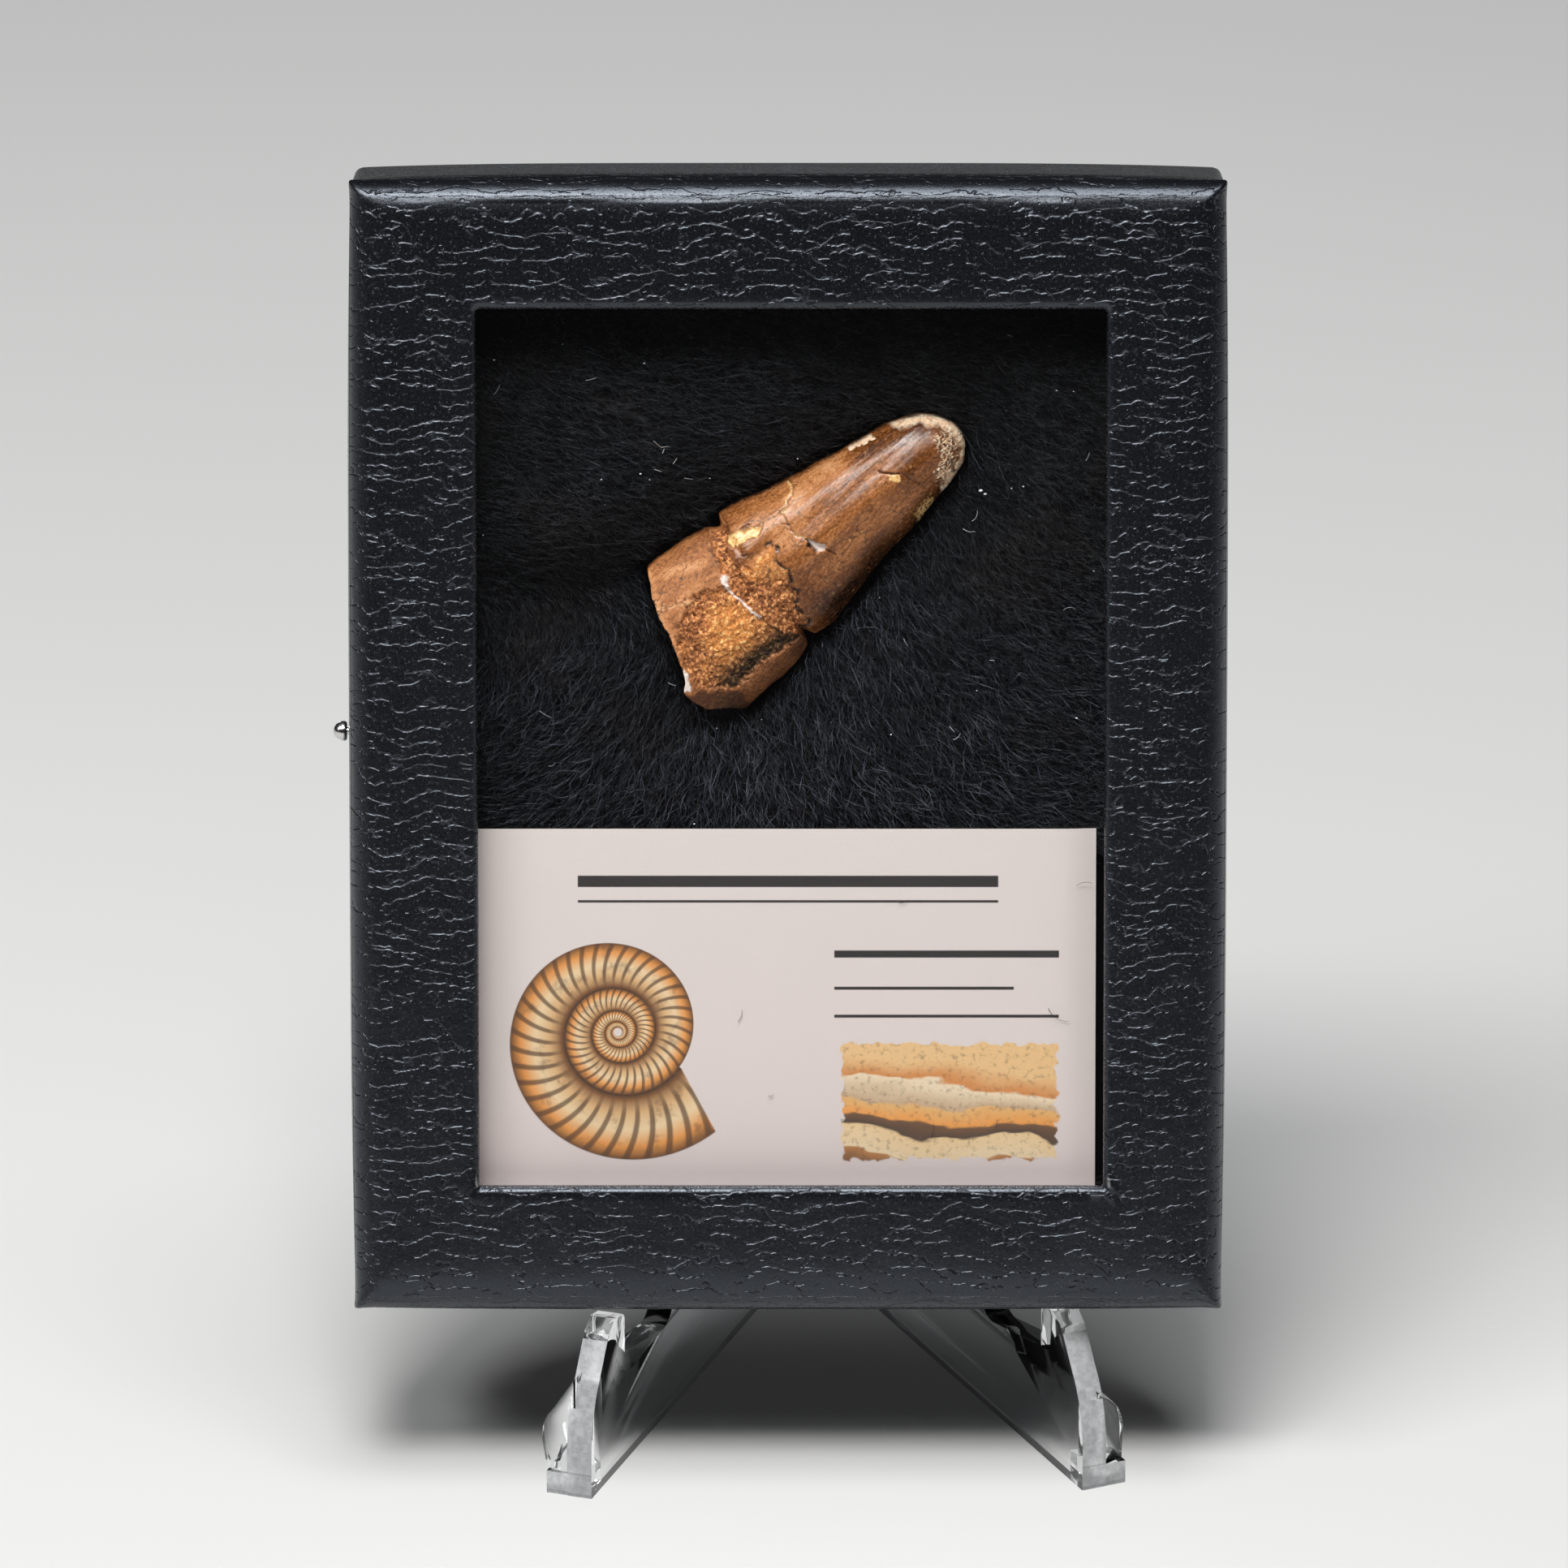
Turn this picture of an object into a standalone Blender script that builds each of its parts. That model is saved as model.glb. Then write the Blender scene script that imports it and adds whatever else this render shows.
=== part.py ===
"""A fossil tooth crown in a lift-off display box that stands on a clear two-plate easel.

World frame: metres, +Z up, the window faces -Y, and the table is the plane z = 0.
The box is drawn upright in its own frame and then leans back on the easel as one:
x to the right, y from the front face into the box, z up from its bottom edge.
"""
import math

import bmesh
import bpy
from mathutils import Matrix, Vector, noise

MM = 0.001

# Play that parts keep from each other
GAP = 0.3 * MM

# Display box
BOX_WIDTH = 82.55 * MM
BOX_HEIGHT = 107.95 * MM
BOX_DEPTH = 19.0 * MM
BOX_LEAN = math.radians(13.0)
BOX_FRONT_EDGE_Y = 2.3 * MM
BOX_FRONT_EDGE_Z = 18.15 * MM

# Lid: a wrapped board with a window, and a skirt round the tray
SKIRT_DEPTH = 15.2 * MM
SKIRT_WALL = 1.5 * MM
SKIRT_BULGE = 0.45 * MM
LID_BOARD = 1.6 * MM
LID_EDGE_RADIUS = 2.3 * MM
LID_PLEAT = 0.3 * MM
WINDOW_LEFT = -29.4 * MM
WINDOW_RIGHT = 30.0 * MM
WINDOW_BOTTOM = 12.05 * MM
WINDOW_TOP = 96.0 * MM
WINDOW_EDGE_RADIUS = 0.7 * MM

# Window pane
GLASS_THICKNESS = 2.0 * MM
GLASS_EDGE = 0.25 * MM

# Tray that slides into the lid
TRAY_WALL = 1.4 * MM

# Pile lining that fills the tray
LINING_MEAN_FRONT = 5.3 * MM
LINING_DIP = 2.6 * MM
LINING_DIP_REACH = 6.0 * MM
LINING_VALLEY = 2.2 * MM
LINING_CELL = 3.0 * MM

# Printed card behind the glass
CARD_LEFT = -29.0 * MM
CARD_RIGHT = 29.3 * MM
CARD_BOTTOM = 8.0 * MM
CARD_TOP = 45.95 * MM
CARD_THICKNESS = 0.5 * MM

# Pin through the skirt and the tray wall
PIN_HEIGHT = 54.75 * MM
PIN_DEPTH = 8.2 * MM
PIN_HEAD_RADIUS = 0.95 * MM
PIN_HEAD_PROUD = 1.3 * MM
PIN_SHANK_RADIUS = 0.35 * MM
PIN_LENGTH = 6.0 * MM

# Tooth: u runs from the broken root end to the tip, v across the face
TOOTH_ORIGIN_X = -7.2 * MM
TOOTH_ORIGIN_Z = 62.9 * MM
TOOTH_MIDPLANE = 10.0 * MM
TOOTH_TURN = math.radians(41.2)
TOOTH_UPPER_SIDE = [
    (-2.0, 9.6), (0.3, 9.75), (2.4, 9.7), (5.2, 9.3), (7.2, 8.8), (8.1, 8.4), (8.9, 9.1),
    (11.7, 8.5), (15.6, 7.35), (19.2, 6.6), (22.2, 5.95), (26.8, 4.95), (29.2, 3.9),
    (30.6, 2.6), (31.2, 1.1), (31.4, 0.3),
]
TOOTH_LOWER_SIDE = [
    (-5.0, -6.5), (0.0, -6.65), (4.8, -6.5), (7.0, -5.9), (7.6, -4.7), (8.3, -5.8),
    (10.2, -5.9), (11.9, -5.5), (14.9, -5.0), (17.9, -4.4), (22.0, -4.05), (25.3, -3.45),
    (27.3, -3.15), (29.2, -2.6), (30.7, -1.5), (31.4, 0.1),
]
TOOTH_ROOT_EDGE = [
    (-6.7, -1.5), (-5.7, -2.3), (-3.8, -4.2), (-1.7, -4.7), (-0.3, -3.7), (2.1, -2.7),
    (3.8, -2.1), (5.8, -1.7), (7.5, -1.0), (9.8, 0.3),
]
TOOTH_HALF_DEPTH = [
    (-5.0, 5.1), (4.0, 5.25), (10.0, 5.2), (16.0, 4.75), (22.0, 4.1), (26.0, 3.5),
    (29.0, 2.7), (30.6, 1.75), (31.2, 0.9), (31.4, 0.3),
]
TOOTH_STATIONS = 52
TOOTH_RING = 40
TOOTH_RIDGE = 0.35
TOOTH_BREAK_U = 7.8
TOOTH_BREAK_DEPTH = 0.55
TOOTH_PITTED_DEPTH = 0.5

# Easel: two mirrored plates that cross behind the box
EASEL_CENTRE_X = 4.7 * MM
EASEL_YAW = math.radians(2.4)
PLATE_SPREAD = math.radians(21.9)
PLATE_THICKNESS = 2.5 * MM
FRONT_FEET_SPAN = 47.0 * MM
PRONG_TIP_S = 6.6 * MM
NOTCH_FRONT_S = 9.4 * MM
NOTCH_FLOOR_FRONT_Z = 11.4 * MM
NOTCH_FLOOR_BACK_Z = 9.4 * MM
UPRIGHT_TOP_Z = 68.0 * MM
UPRIGHT_TOP_WIDTH = 9.0 * MM
PLATE_LENGTH = 77.0 * MM
FOOT_PAD_WIDTH = 2.1 * MM
FOOT_PAD_HEIGHT = 2.3 * MM
FOOT_PAD_DEPTH = 4.4 * MM
FIN_SET_BACK = 0.9 * MM
FIN_THICKNESS = 1.8 * MM
FIN_REACH_LEFT = 2.9 * MM
FIN_REACH_RIGHT = 2.2 * MM
FIN_TOP_LEFT = 12.0 * MM
FIN_TOP_RIGHT = 9.6 * MM


def clear_scene():
    """Remove whatever the file opens with."""
    for thing in list(bpy.data.objects):
        bpy.data.objects.remove(thing, do_unlink=True)


def new_collection(name):
    collection = bpy.data.collections.new(name)
    bpy.context.scene.collection.children.link(collection)
    return collection


def new_material(name, colour, roughness, metallic=0.0, transmission=0.0, ior=1.5):
    """Return a Principled material of one plain finish."""
    material = bpy.data.materials.new(name)
    material.use_nodes = True
    shader = material.node_tree.nodes["Principled BSDF"]
    shader.inputs["Base Color"].default_value = (*colour, 1.0)
    shader.inputs["Roughness"].default_value = roughness
    shader.inputs["Metallic"].default_value = metallic
    shader.inputs["Transmission Weight"].default_value = transmission
    shader.inputs["IOR"].default_value = ior
    return material


def new_object(name, mesh, collection, parent=None, material=None):
    thing = bpy.data.objects.new(name, mesh)
    collection.objects.link(thing)
    thing.parent = parent
    if material:
        mesh.materials.append(material)
    return thing


def new_empty(name, collection, parent=None):
    return new_object(name, None, collection, parent)


def mesh_from(builder):
    """Close a bmesh into a mesh with its faces pointing out."""
    bmesh.ops.recalc_face_normals(builder, faces=builder.faces)
    mesh = bpy.data.meshes.new("shape")
    builder.to_mesh(mesh)
    builder.free()
    return mesh


def block_mesh(low, high):
    """A box between two corners, from the cube primitive."""
    builder = bmesh.new()
    bmesh.ops.create_cube(builder, size=1.0)
    size = Vector(high) - Vector(low)
    middle = (Vector(high) + Vector(low)) / 2
    bmesh.ops.scale(builder, vec=size, verts=builder.verts)
    bmesh.ops.translate(builder, vec=middle, verts=builder.verts)
    return mesh_from(builder)


def add_bevel(thing, width, segments=2, angle=30.0):
    bevel = thing.modifiers.new("rounded edges", "BEVEL")
    bevel.width = width
    bevel.segments = segments
    bevel.limit_method = "ANGLE"
    bevel.angle_limit = math.radians(angle)


def add_boolean(thing, other, operation="DIFFERENCE"):
    boolean = thing.modifiers.new(operation.lower(), "BOOLEAN")
    boolean.operation = operation
    boolean.solver = "EXACT"
    boolean.object = other


def as_cutter(thing):
    thing.hide_render = True
    thing.display_type = "WIRE"
    return thing


def shade(thing, angle=35.0):
    thing.data.shade_smooth()
    thing.data.set_sharp_from_angle(angle=math.radians(angle))


def along(table, x):
    """Read a list of (x, value) points with straight runs between them."""
    if x <= table[0][0]:
        return table[0][1]
    for (x0, y0), (x1, y1) in zip(table, table[1:]):
        if x <= x1:
            return y0 + (y1 - y0) * (x - x0) / (x1 - x0)
    return table[-1][1]


def smooth_step(low, high, x):
    t = min(1.0, max(0.0, (x - low) / (high - low)))
    return t * t * (3.0 - 2.0 * t)


def quarter_arc(centre, radius, start, steps):
    """Points of a quarter turn about centre, from the start angle on."""
    turn = [math.radians(start + 90.0 * k / steps) for k in range(steps + 1)]
    return [(centre[0] + radius * math.cos(a), centre[1] + radius * math.sin(a)) for a in turn]


# Lid

def lid_profile():
    """Section of the lid as (inset from the outer side, depth), once round."""
    wall, board, edge, lip = SKIRT_WALL, LID_BOARD, LID_EDGE_RADIUS, WINDOW_EDGE_RADIUS
    outer_edge = quarter_arc((edge, edge), edge, 180.0, 4)
    points = [(("skirt", 0.0), SKIRT_DEPTH), (("skirt", 0.0), SKIRT_DEPTH * 0.72)]
    points += [(("skirt", 0.0), SKIRT_DEPTH * 0.4)]
    points += [(("skirt", inset), depth) for inset, depth in outer_edge]
    points += [(("window", -lip - 3.0 * MM), 0.0)]
    lip_edge = quarter_arc((-lip, lip), lip, 270.0, 3)
    points += [(("window", inset), depth) for inset, depth in lip_edge]
    points += [(("window", 0.0), board)]
    points += [(("skirt", wall), board), (("skirt", wall), SKIRT_DEPTH)]
    return points


def lid_rectangle(anchor, inset):
    """Left, right, bottom and top of the rectangle that a profile point runs along."""
    if anchor == "skirt":
        half = BOX_WIDTH / 2 - inset
        return -half, half, inset, BOX_HEIGHT - inset
    return WINDOW_LEFT + inset, WINDOW_RIGHT - inset, WINDOW_BOTTOM + inset, WINDOW_TOP - inset


def around(rectangle, per_side):
    """Points once round a rectangle, each with its fraction along its side and its outward way."""
    left, right, low, high = rectangle
    corners = [(left, low), (right, low), (right, high), (left, high)]
    outward = [(0, -1), (1, 0), (0, 1), (-1, 0)]
    points = []
    for side in range(4):
        x0, z0 = corners[side]
        x1, z1 = corners[(side + 1) % 4]
        for step in range(per_side):
            f = step / per_side
            points.append((x0 + (x1 - x0) * f, z0 + (z1 - z0) * f, f, outward[side]))
    return points


def lid_mesh():
    """The section swept round the window: skirt sides belly out, front corners end in a pleat."""
    per_side = 8
    builder = bmesh.new()
    rings = []
    for (anchor, inset), depth in lid_profile():
        outer = anchor == "skirt" and inset < SKIRT_WALL
        ring = []
        for x, z, f, (ox, oz) in around(lid_rectangle(anchor, inset), per_side):
            if outer:
                belly = SKIRT_BULGE * (1.0 - (2.0 * f - 1.0) ** 4)
                belly *= smooth_step(0.0, 5.0 * MM, depth)
                x += ox * belly
                z += oz * belly
                if f == 0.0 and depth <= LID_EDGE_RADIUS:
                    x += math.copysign(LID_PLEAT, x)
                    z += math.copysign(LID_PLEAT, z - BOX_HEIGHT / 2)
            ring.append(builder.verts.new((x, depth, z)))
        rings.append(ring)
    count = len(rings[0])
    for ring, following in zip(rings, rings[1:] + rings[:1]):
        for k in range(count):
            near = (k + 1) % count
            builder.faces.new((ring[k], ring[near], following[near], following[k]))
    return mesh_from(builder)


# Tray and glass

def tray_half_width():
    return BOX_WIDTH / 2 - SKIRT_WALL - GAP


def tray_front():
    return LID_BOARD + GAP + GLASS_THICKNESS + GAP


def make_tray(parts, box, material):
    """An open box: five faces of a cube, thickened inwards."""
    half = tray_half_width()
    edge = SKIRT_WALL + GAP
    mesh = block_mesh((-half, tray_front(), edge), (half, BOX_DEPTH, BOX_HEIGHT - edge))
    builder = bmesh.new()
    builder.from_mesh(mesh)
    front = [face for face in builder.faces if face.normal.y < -0.5]
    bmesh.ops.delete(builder, geom=front, context="FACES_ONLY")
    builder.to_mesh(mesh)
    builder.free()
    tray = new_object("base_tray", mesh, parts, box, material)
    wall = tray.modifiers.new("wall", "SOLIDIFY")
    wall.thickness = TRAY_WALL
    wall.offset = -1.0
    wall.use_even_offset = True
    return tray


def make_glass(parts, box, material):
    half = tray_half_width() - GAP
    edge = SKIRT_WALL + 2 * GAP
    front = LID_BOARD + GAP
    mesh = block_mesh((-half, front, edge), (half, front + GLASS_THICKNESS, BOX_HEIGHT - edge))
    glass = new_object("glass_pane", mesh, parts, box, material)
    add_bevel(glass, GLASS_EDGE, segments=1)
    return glass


def make_card(parts, box, material):
    front = tray_front()
    mesh = block_mesh((CARD_LEFT, front, CARD_BOTTOM), (CARD_RIGHT, front + CARD_THICKNESS, CARD_TOP))
    card = new_object("label_card", mesh, parts, box, material)
    add_bevel(card, CARD_THICKNESS * 0.3, segments=1)
    return card


# Tooth

def tooth_pitted(u, v):
    """How far a spot of the front lies in the broken, granular zone, 0 to 1."""
    low = v - 1.15 * (u - 9.5)
    in_length = smooth_step(-3.6, -1.0, u) * (1.0 - smooth_step(9.0, 12.6, u + 0.25 * v))
    off_sides = smooth_step(-6.2, -4.2, v) * (1.0 - smooth_step(2.0, 4.4, v - 0.35 * u))
    return in_length * off_sides * (1.0 - smooth_step(9.0, 14.0, low))


def tooth_relief(u, v, front):
    """Depth in millimetres that the surface stands out (+) or is worn in (-)."""
    spot = Vector((u, v, 0.0 if front else 20.0))
    ripple = 0.05 * noise.noise(Vector((u * 0.25, v * 1.4, 3.0)))
    fracture = abs(u - TOOTH_BREAK_U - 0.35 * noise.noise(spot * 0.45))
    groove = -TOOTH_BREAK_DEPTH * (1.0 - smooth_step(0.25, 1.1, fracture))
    if not front:
        return ripple + 0.6 * groove + 0.12 * noise.noise(spot * 0.5)
    pitted = tooth_pitted(u, v)
    grain = 0.28 * noise.noise(spot * 0.9) + 0.16 * noise.noise(spot * 2.1)
    crest = TOOTH_RIDGE * math.exp(-(((v - 1.9 + 0.04 * u) / 1.3) ** 2)) * smooth_step(6.0, 14.0, u)
    return ripple + groove * (1.0 - 0.3 * pitted) + crest + pitted * (grain - TOOTH_PITTED_DEPTH)


def tooth_point(t, angle, swell):
    """A spot of the crown: t from the root edge to the tip, angle round the section."""
    across = math.cos(angle)
    deep = -math.sin(angle)
    root_low = TOOTH_ROOT_EDGE[0][0]
    root_high = TOOTH_ROOT_EDGE[-1][0]
    root_v = (root_high + root_low) / 2 + across * (root_high - root_low) / 2
    root_u = along(TOOTH_ROOT_EDGE, root_v) - swell
    tip_u = TOOTH_HALF_DEPTH[-1][0] + swell
    u = root_u + (tip_u - root_u) * t
    high = along(TOOTH_UPPER_SIDE, u)
    low = along(TOOTH_LOWER_SIDE, u)
    v = (high + low) / 2 + across * ((high - low) / 2 + swell)
    flat = math.copysign(abs(deep) ** 0.9, deep)
    depth = flat * (along(TOOTH_HALF_DEPTH, u) + swell)
    if swell == 0.0:
        depth += tooth_relief(u, v, deep < 0.0) * deep * abs(deep)
    return Vector((u * MM, depth * MM, v * MM))


def tooth_mesh(stations, ring_count, swell=0.0):
    """Rings from the root edge to the tip, closed by a rough root face and a blunt tip."""
    builder = bmesh.new()
    rings = []
    for k in range(stations + 1):
        t = 0.995 * (1.0 - (1.0 - k / stations) ** 1.25)
        ring = [tooth_point(t, math.tau * (n + 0.5) / ring_count, swell) for n in range(ring_count)]
        rings.append([builder.verts.new(point) for point in ring])
    root = [vert.co.copy() for vert in rings[0]]
    middle = sum(root, Vector()) / ring_count
    for share, hollow in ((0.72, 0.45), (0.4, 0.9)):
        loop = []
        for point in root:
            spot = middle + (point - middle) * share
            rough = 0.35 * noise.noise(spot / MM * 0.6)
            spot.x += (hollow + rough - swell) * MM
            loop.append(builder.verts.new(spot))
        rings.insert(0, loop)
    for ring, following in zip(rings, rings[1:]):
        for n in range(ring_count):
            near = (n + 1) % ring_count
            builder.faces.new((ring[n], following[n], following[near], ring[near]))
    for ring, shift in ((rings[0], 0.2), (rings[-1], 0.25)):
        centre = sum((vert.co for vert in ring), Vector()) / ring_count
        hub = builder.verts.new(centre + Vector((shift * MM, 0.0, 0.0)))
        for n in range(ring_count):
            builder.faces.new((ring[n], ring[(n + 1) % ring_count], hub))
    return mesh_from(builder)


def place_tooth(thing):
    thing.location = (TOOTH_ORIGIN_X, TOOTH_MIDPLANE, TOOTH_ORIGIN_Z)
    thing.rotation_euler = (0.0, -TOOTH_TURN, 0.0)
    return thing


def make_tooth(parts, box, material):
    tooth = new_object("fossil_tooth", tooth_mesh(TOOTH_STATIONS, TOOTH_RING), parts, box, material)
    shade(tooth, 50.0)
    return place_tooth(tooth)


# Pile lining

def to_tooth(x, z):
    """Box coordinates to the tooth's own u and v, in millimetres."""
    dx = (x - TOOTH_ORIGIN_X) / MM
    dz = (z - TOOTH_ORIGIN_Z) / MM
    turn = TOOTH_TURN
    return dx * math.cos(turn) + dz * math.sin(turn), -dx * math.sin(turn) + dz * math.cos(turn)


def clear_of_tooth(x, z):
    """About how far a spot lies outside the tooth's outline, in millimetres."""
    u, v = to_tooth(x, z)
    beyond = max(u - 31.0, -3.2 - u, 0.0)
    high = along(TOOTH_UPPER_SIDE, u)
    low = along(TOOTH_LOWER_SIDE, u)
    return math.hypot(beyond, max(v - high, low - v, 0.0))


def lining_front(x, z):
    """Depth of the tips of the pile: it swells to the glass and dips round the tooth."""
    near = clear_of_tooth(x, z) * MM
    dip = LINING_DIP * math.exp(-((near / LINING_DIP_REACH) ** 2))
    valley_x = (x + 21.0 * MM) / (9.0 * MM)
    valley_z = (z - 68.0 * MM) / (3.5 * MM)
    valley = LINING_VALLEY * math.exp(-(valley_x ** 2) - (valley_z ** 2))
    wave = 0.35 * MM * noise.noise(Vector((x, z, 0.0)) * 110.0)
    return max(LINING_MEAN_FRONT + dip + valley + wave, tray_front() + CARD_THICKNESS + GAP)


def make_lining(parts, box, material, pocket, bore):
    """A cushion over the whole tray, with the tooth pressed into it."""
    side = SKIRT_WALL + GAP + TRAY_WALL + GAP
    half = BOX_WIDTH / 2 - side
    low, high = side, BOX_HEIGHT - side
    back = BOX_DEPTH - TRAY_WALL - GAP
    columns = round(2 * half / LINING_CELL)
    rows = round((high - low) / LINING_CELL)
    builder = bmesh.new()
    bmesh.ops.create_grid(builder, x_segments=columns, y_segments=rows, size=1.0)
    for vert in builder.verts:
        x = vert.co.x * half
        z = low + (vert.co.y + 1.0) / 2 * (high - low)
        vert.co = (x, lining_front(x, z), z)
    rim = [edge for edge in builder.edges if edge.is_boundary]
    skirt = bmesh.ops.extrude_edge_only(builder, edges=rim)["geom"]
    for vert in (item for item in skirt if isinstance(item, bmesh.types.BMVert)):
        vert.co.y = back
    bmesh.ops.contextual_create(builder, geom=[item for item in skirt if isinstance(item, bmesh.types.BMEdge)])
    lining = new_object("fur_lining", mesh_from(builder), parts, box, material)
    add_boolean(lining, pocket)
    add_boolean(lining, bore)
    shade(lining)
    return lining


# Pin

def pin_site():
    """Where the pin enters the left side of the skirt."""
    return Vector((-BOX_WIDTH / 2 - SKIRT_BULGE, PIN_DEPTH, PIN_HEIGHT))


def make_pin(parts, box, material):
    """A turned pin: shank, collar and domed head, lying along x with its head to the left."""
    head, proud, shank = PIN_HEAD_RADIUS, PIN_HEAD_PROUD, PIN_SHANK_RADIUS
    dome = quarter_arc((0.0, 0.0), 1.0, 0.0, 4)
    profile = [(0.0, proud)]
    profile += [(head * 0.86 * c, proud * (0.45 + 0.55 * s)) for c, s in reversed(dome[:-1])]
    profile += [(head, proud * 0.42), (head, proud * 0.14), (head * 0.82, 0.0), (shank, 0.0)]
    profile += [(shank, -PIN_LENGTH + 1.2 * MM), (0.0, -PIN_LENGTH)]
    builder = bmesh.new()
    verts = [builder.verts.new((r, 0.0, z)) for r, z in profile]
    for first, second in zip(verts, verts[1:]):
        builder.edges.new((first, second))
    mesh = bpy.data.meshes.new("pin profile")
    builder.to_mesh(mesh)
    builder.free()
    pin = new_object("pin", mesh, parts, box, material)
    turn = pin.modifiers.new("turned", "SCREW")
    turn.steps = 16
    turn.render_steps = 16
    turn.use_merge_vertices = True
    turn.merge_threshold = 0.00001
    pin.location = pin_site() - Vector((GAP, 0.0, 0.0))
    pin.rotation_euler = (0.0, math.radians(-90.0), 0.0)
    return pin


def make_bore(cutters, box):
    """The pin hole through skirt, tray wall and lining."""
    builder = bmesh.new()
    radius = PIN_SHANK_RADIUS + GAP
    bmesh.ops.create_cone(builder, cap_ends=True, segments=12, radius1=radius, radius2=radius,
                          depth=2 * PIN_LENGTH + 2 * MM)
    bore = new_object("pin_bore", mesh_from(builder), cutters, box)
    bore.location = pin_site()
    bore.rotation_euler = (0.0, math.radians(-90.0), 0.0)
    return as_cutter(bore)


# Easel

def bezier_corner(start, corner, end, steps=4):
    """A round stretch from start to end, drawn towards the corner."""
    points = []
    for k in range(steps + 1):
        t = k / steps
        a, b, c = (1 - t) ** 2, 2 * t * (1 - t), t * t
        points.append((a * start[0] + b * corner[0] + c * end[0], a * start[1] + b * corner[1] + c * end[1]))
    return points


def plate_reach():
    """Half the distance between the two plates' middle planes at their front feet."""
    return FRONT_FEET_SPAN / 2 + PLATE_THICKNESS / 2 * math.cos(PLATE_SPREAD)


def back_line(z):
    """Distance along the left plate, the nearer one, at which it meets the leaning back."""
    bottom_back_y = BOX_FRONT_EDGE_Y + BOX_DEPTH * math.cos(BOX_LEAN)
    bottom_back_z = BOX_FRONT_EDGE_Z - BOX_DEPTH * math.sin(BOX_LEAN)
    y = bottom_back_y + (z - bottom_back_z) * math.tan(BOX_LEAN) + 1.5 * GAP
    return (y + plate_reach() * math.sin(EASEL_YAW)) / math.cos(PLATE_SPREAD - EASEL_YAW)


def under_box(s):
    """Height of a prong's top at distance s, just under the box's bottom face."""
    y = plate_reach() * math.sin(EASEL_YAW) + s * math.cos(PLATE_SPREAD + EASEL_YAW)
    rise = (y - BOX_FRONT_EDGE_Y) * math.tan(BOX_LEAN)
    return BOX_FRONT_EDGE_Z - rise - SKIRT_BULGE - 1.6 * GAP


def plate_outline():
    """Side view of one easel plate, from its front foot clockwise, as (s, z)."""
    floor_front = (NOTCH_FRONT_S, NOTCH_FLOOR_FRONT_Z)
    seat_back = back_line(NOTCH_FLOOR_BACK_Z)
    top_front = back_line(UPRIGHT_TOP_Z)
    top_back = top_front + UPRIGHT_TOP_WIDTH
    shin = [(0.0, 0.0)] + bezier_corner((0.0, 4.0 * MM), (0.1 * MM, 8.6 * MM), (2.4 * MM, 11.4 * MM), 4)
    shin += [(4.9 * MM, 15.0 * MM)]
    tip = [(PRONG_TIP_S, under_box(PRONG_TIP_S)), (NOTCH_FRONT_S - 0.5 * MM, under_box(NOTCH_FRONT_S))]
    tip += [(NOTCH_FRONT_S, under_box(NOTCH_FRONT_S) - 0.5 * MM), floor_front]
    heel = bezier_corner((seat_back - 2.2 * MM, NOTCH_FLOOR_BACK_Z),
                         (seat_back, NOTCH_FLOOR_BACK_Z),
                         (back_line(NOTCH_FLOOR_BACK_Z + 2.2 * MM), NOTCH_FLOOR_BACK_Z + 2.2 * MM), 3)
    crown = bezier_corner((back_line(UPRIGHT_TOP_Z - 4 * MM), UPRIGHT_TOP_Z - 4 * MM),
                          (top_front, UPRIGHT_TOP_Z), (top_front + 4 * MM, UPRIGHT_TOP_Z), 4)
    crown += bezier_corner((top_back - 3 * MM, UPRIGHT_TOP_Z), (top_back, UPRIGHT_TOP_Z),
                           (top_back + 1.2 * MM, UPRIGHT_TOP_Z - 4 * MM), 4)
    leg = bezier_corner((60.0 * MM, 31.0 * MM), (65.5 * MM, 18.0 * MM), (PLATE_LENGTH, 3.2 * MM), 5)
    return shin + tip + heel + crown + leg + [(PLATE_LENGTH, 0.0)]


def flat_shape(name, outline, thickness):
    """A closed outline as a filled flat curve of full thickness, made into a welded mesh."""
    curve = bpy.data.curves.new(name, "CURVE")
    curve.dimensions = "2D"
    curve.fill_mode = "BOTH"
    curve.extrude = thickness / 2
    spline = curve.splines.new("POLY")
    spline.points.add(len(outline) - 1)
    for point, (x, y) in zip(spline.points, outline):
        point.co = (x, y, 0.0, 1.0)
    spline.use_cyclic_u = True
    drawn = bpy.data.objects.new(name, curve)
    bpy.context.scene.collection.objects.link(drawn)
    graph = bpy.context.evaluated_depsgraph_get()
    mesh = bpy.data.meshes.new_from_object(drawn.evaluated_get(graph))
    bpy.data.objects.remove(drawn, do_unlink=True)
    builder = bmesh.new()
    builder.from_mesh(mesh)
    bmesh.ops.remove_doubles(builder, verts=builder.verts, dist=0.000001)
    bpy.data.meshes.remove(mesh)
    return mesh_from(builder)


def stand_up(mesh, matrix):
    mesh.transform(matrix)
    return mesh


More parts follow.
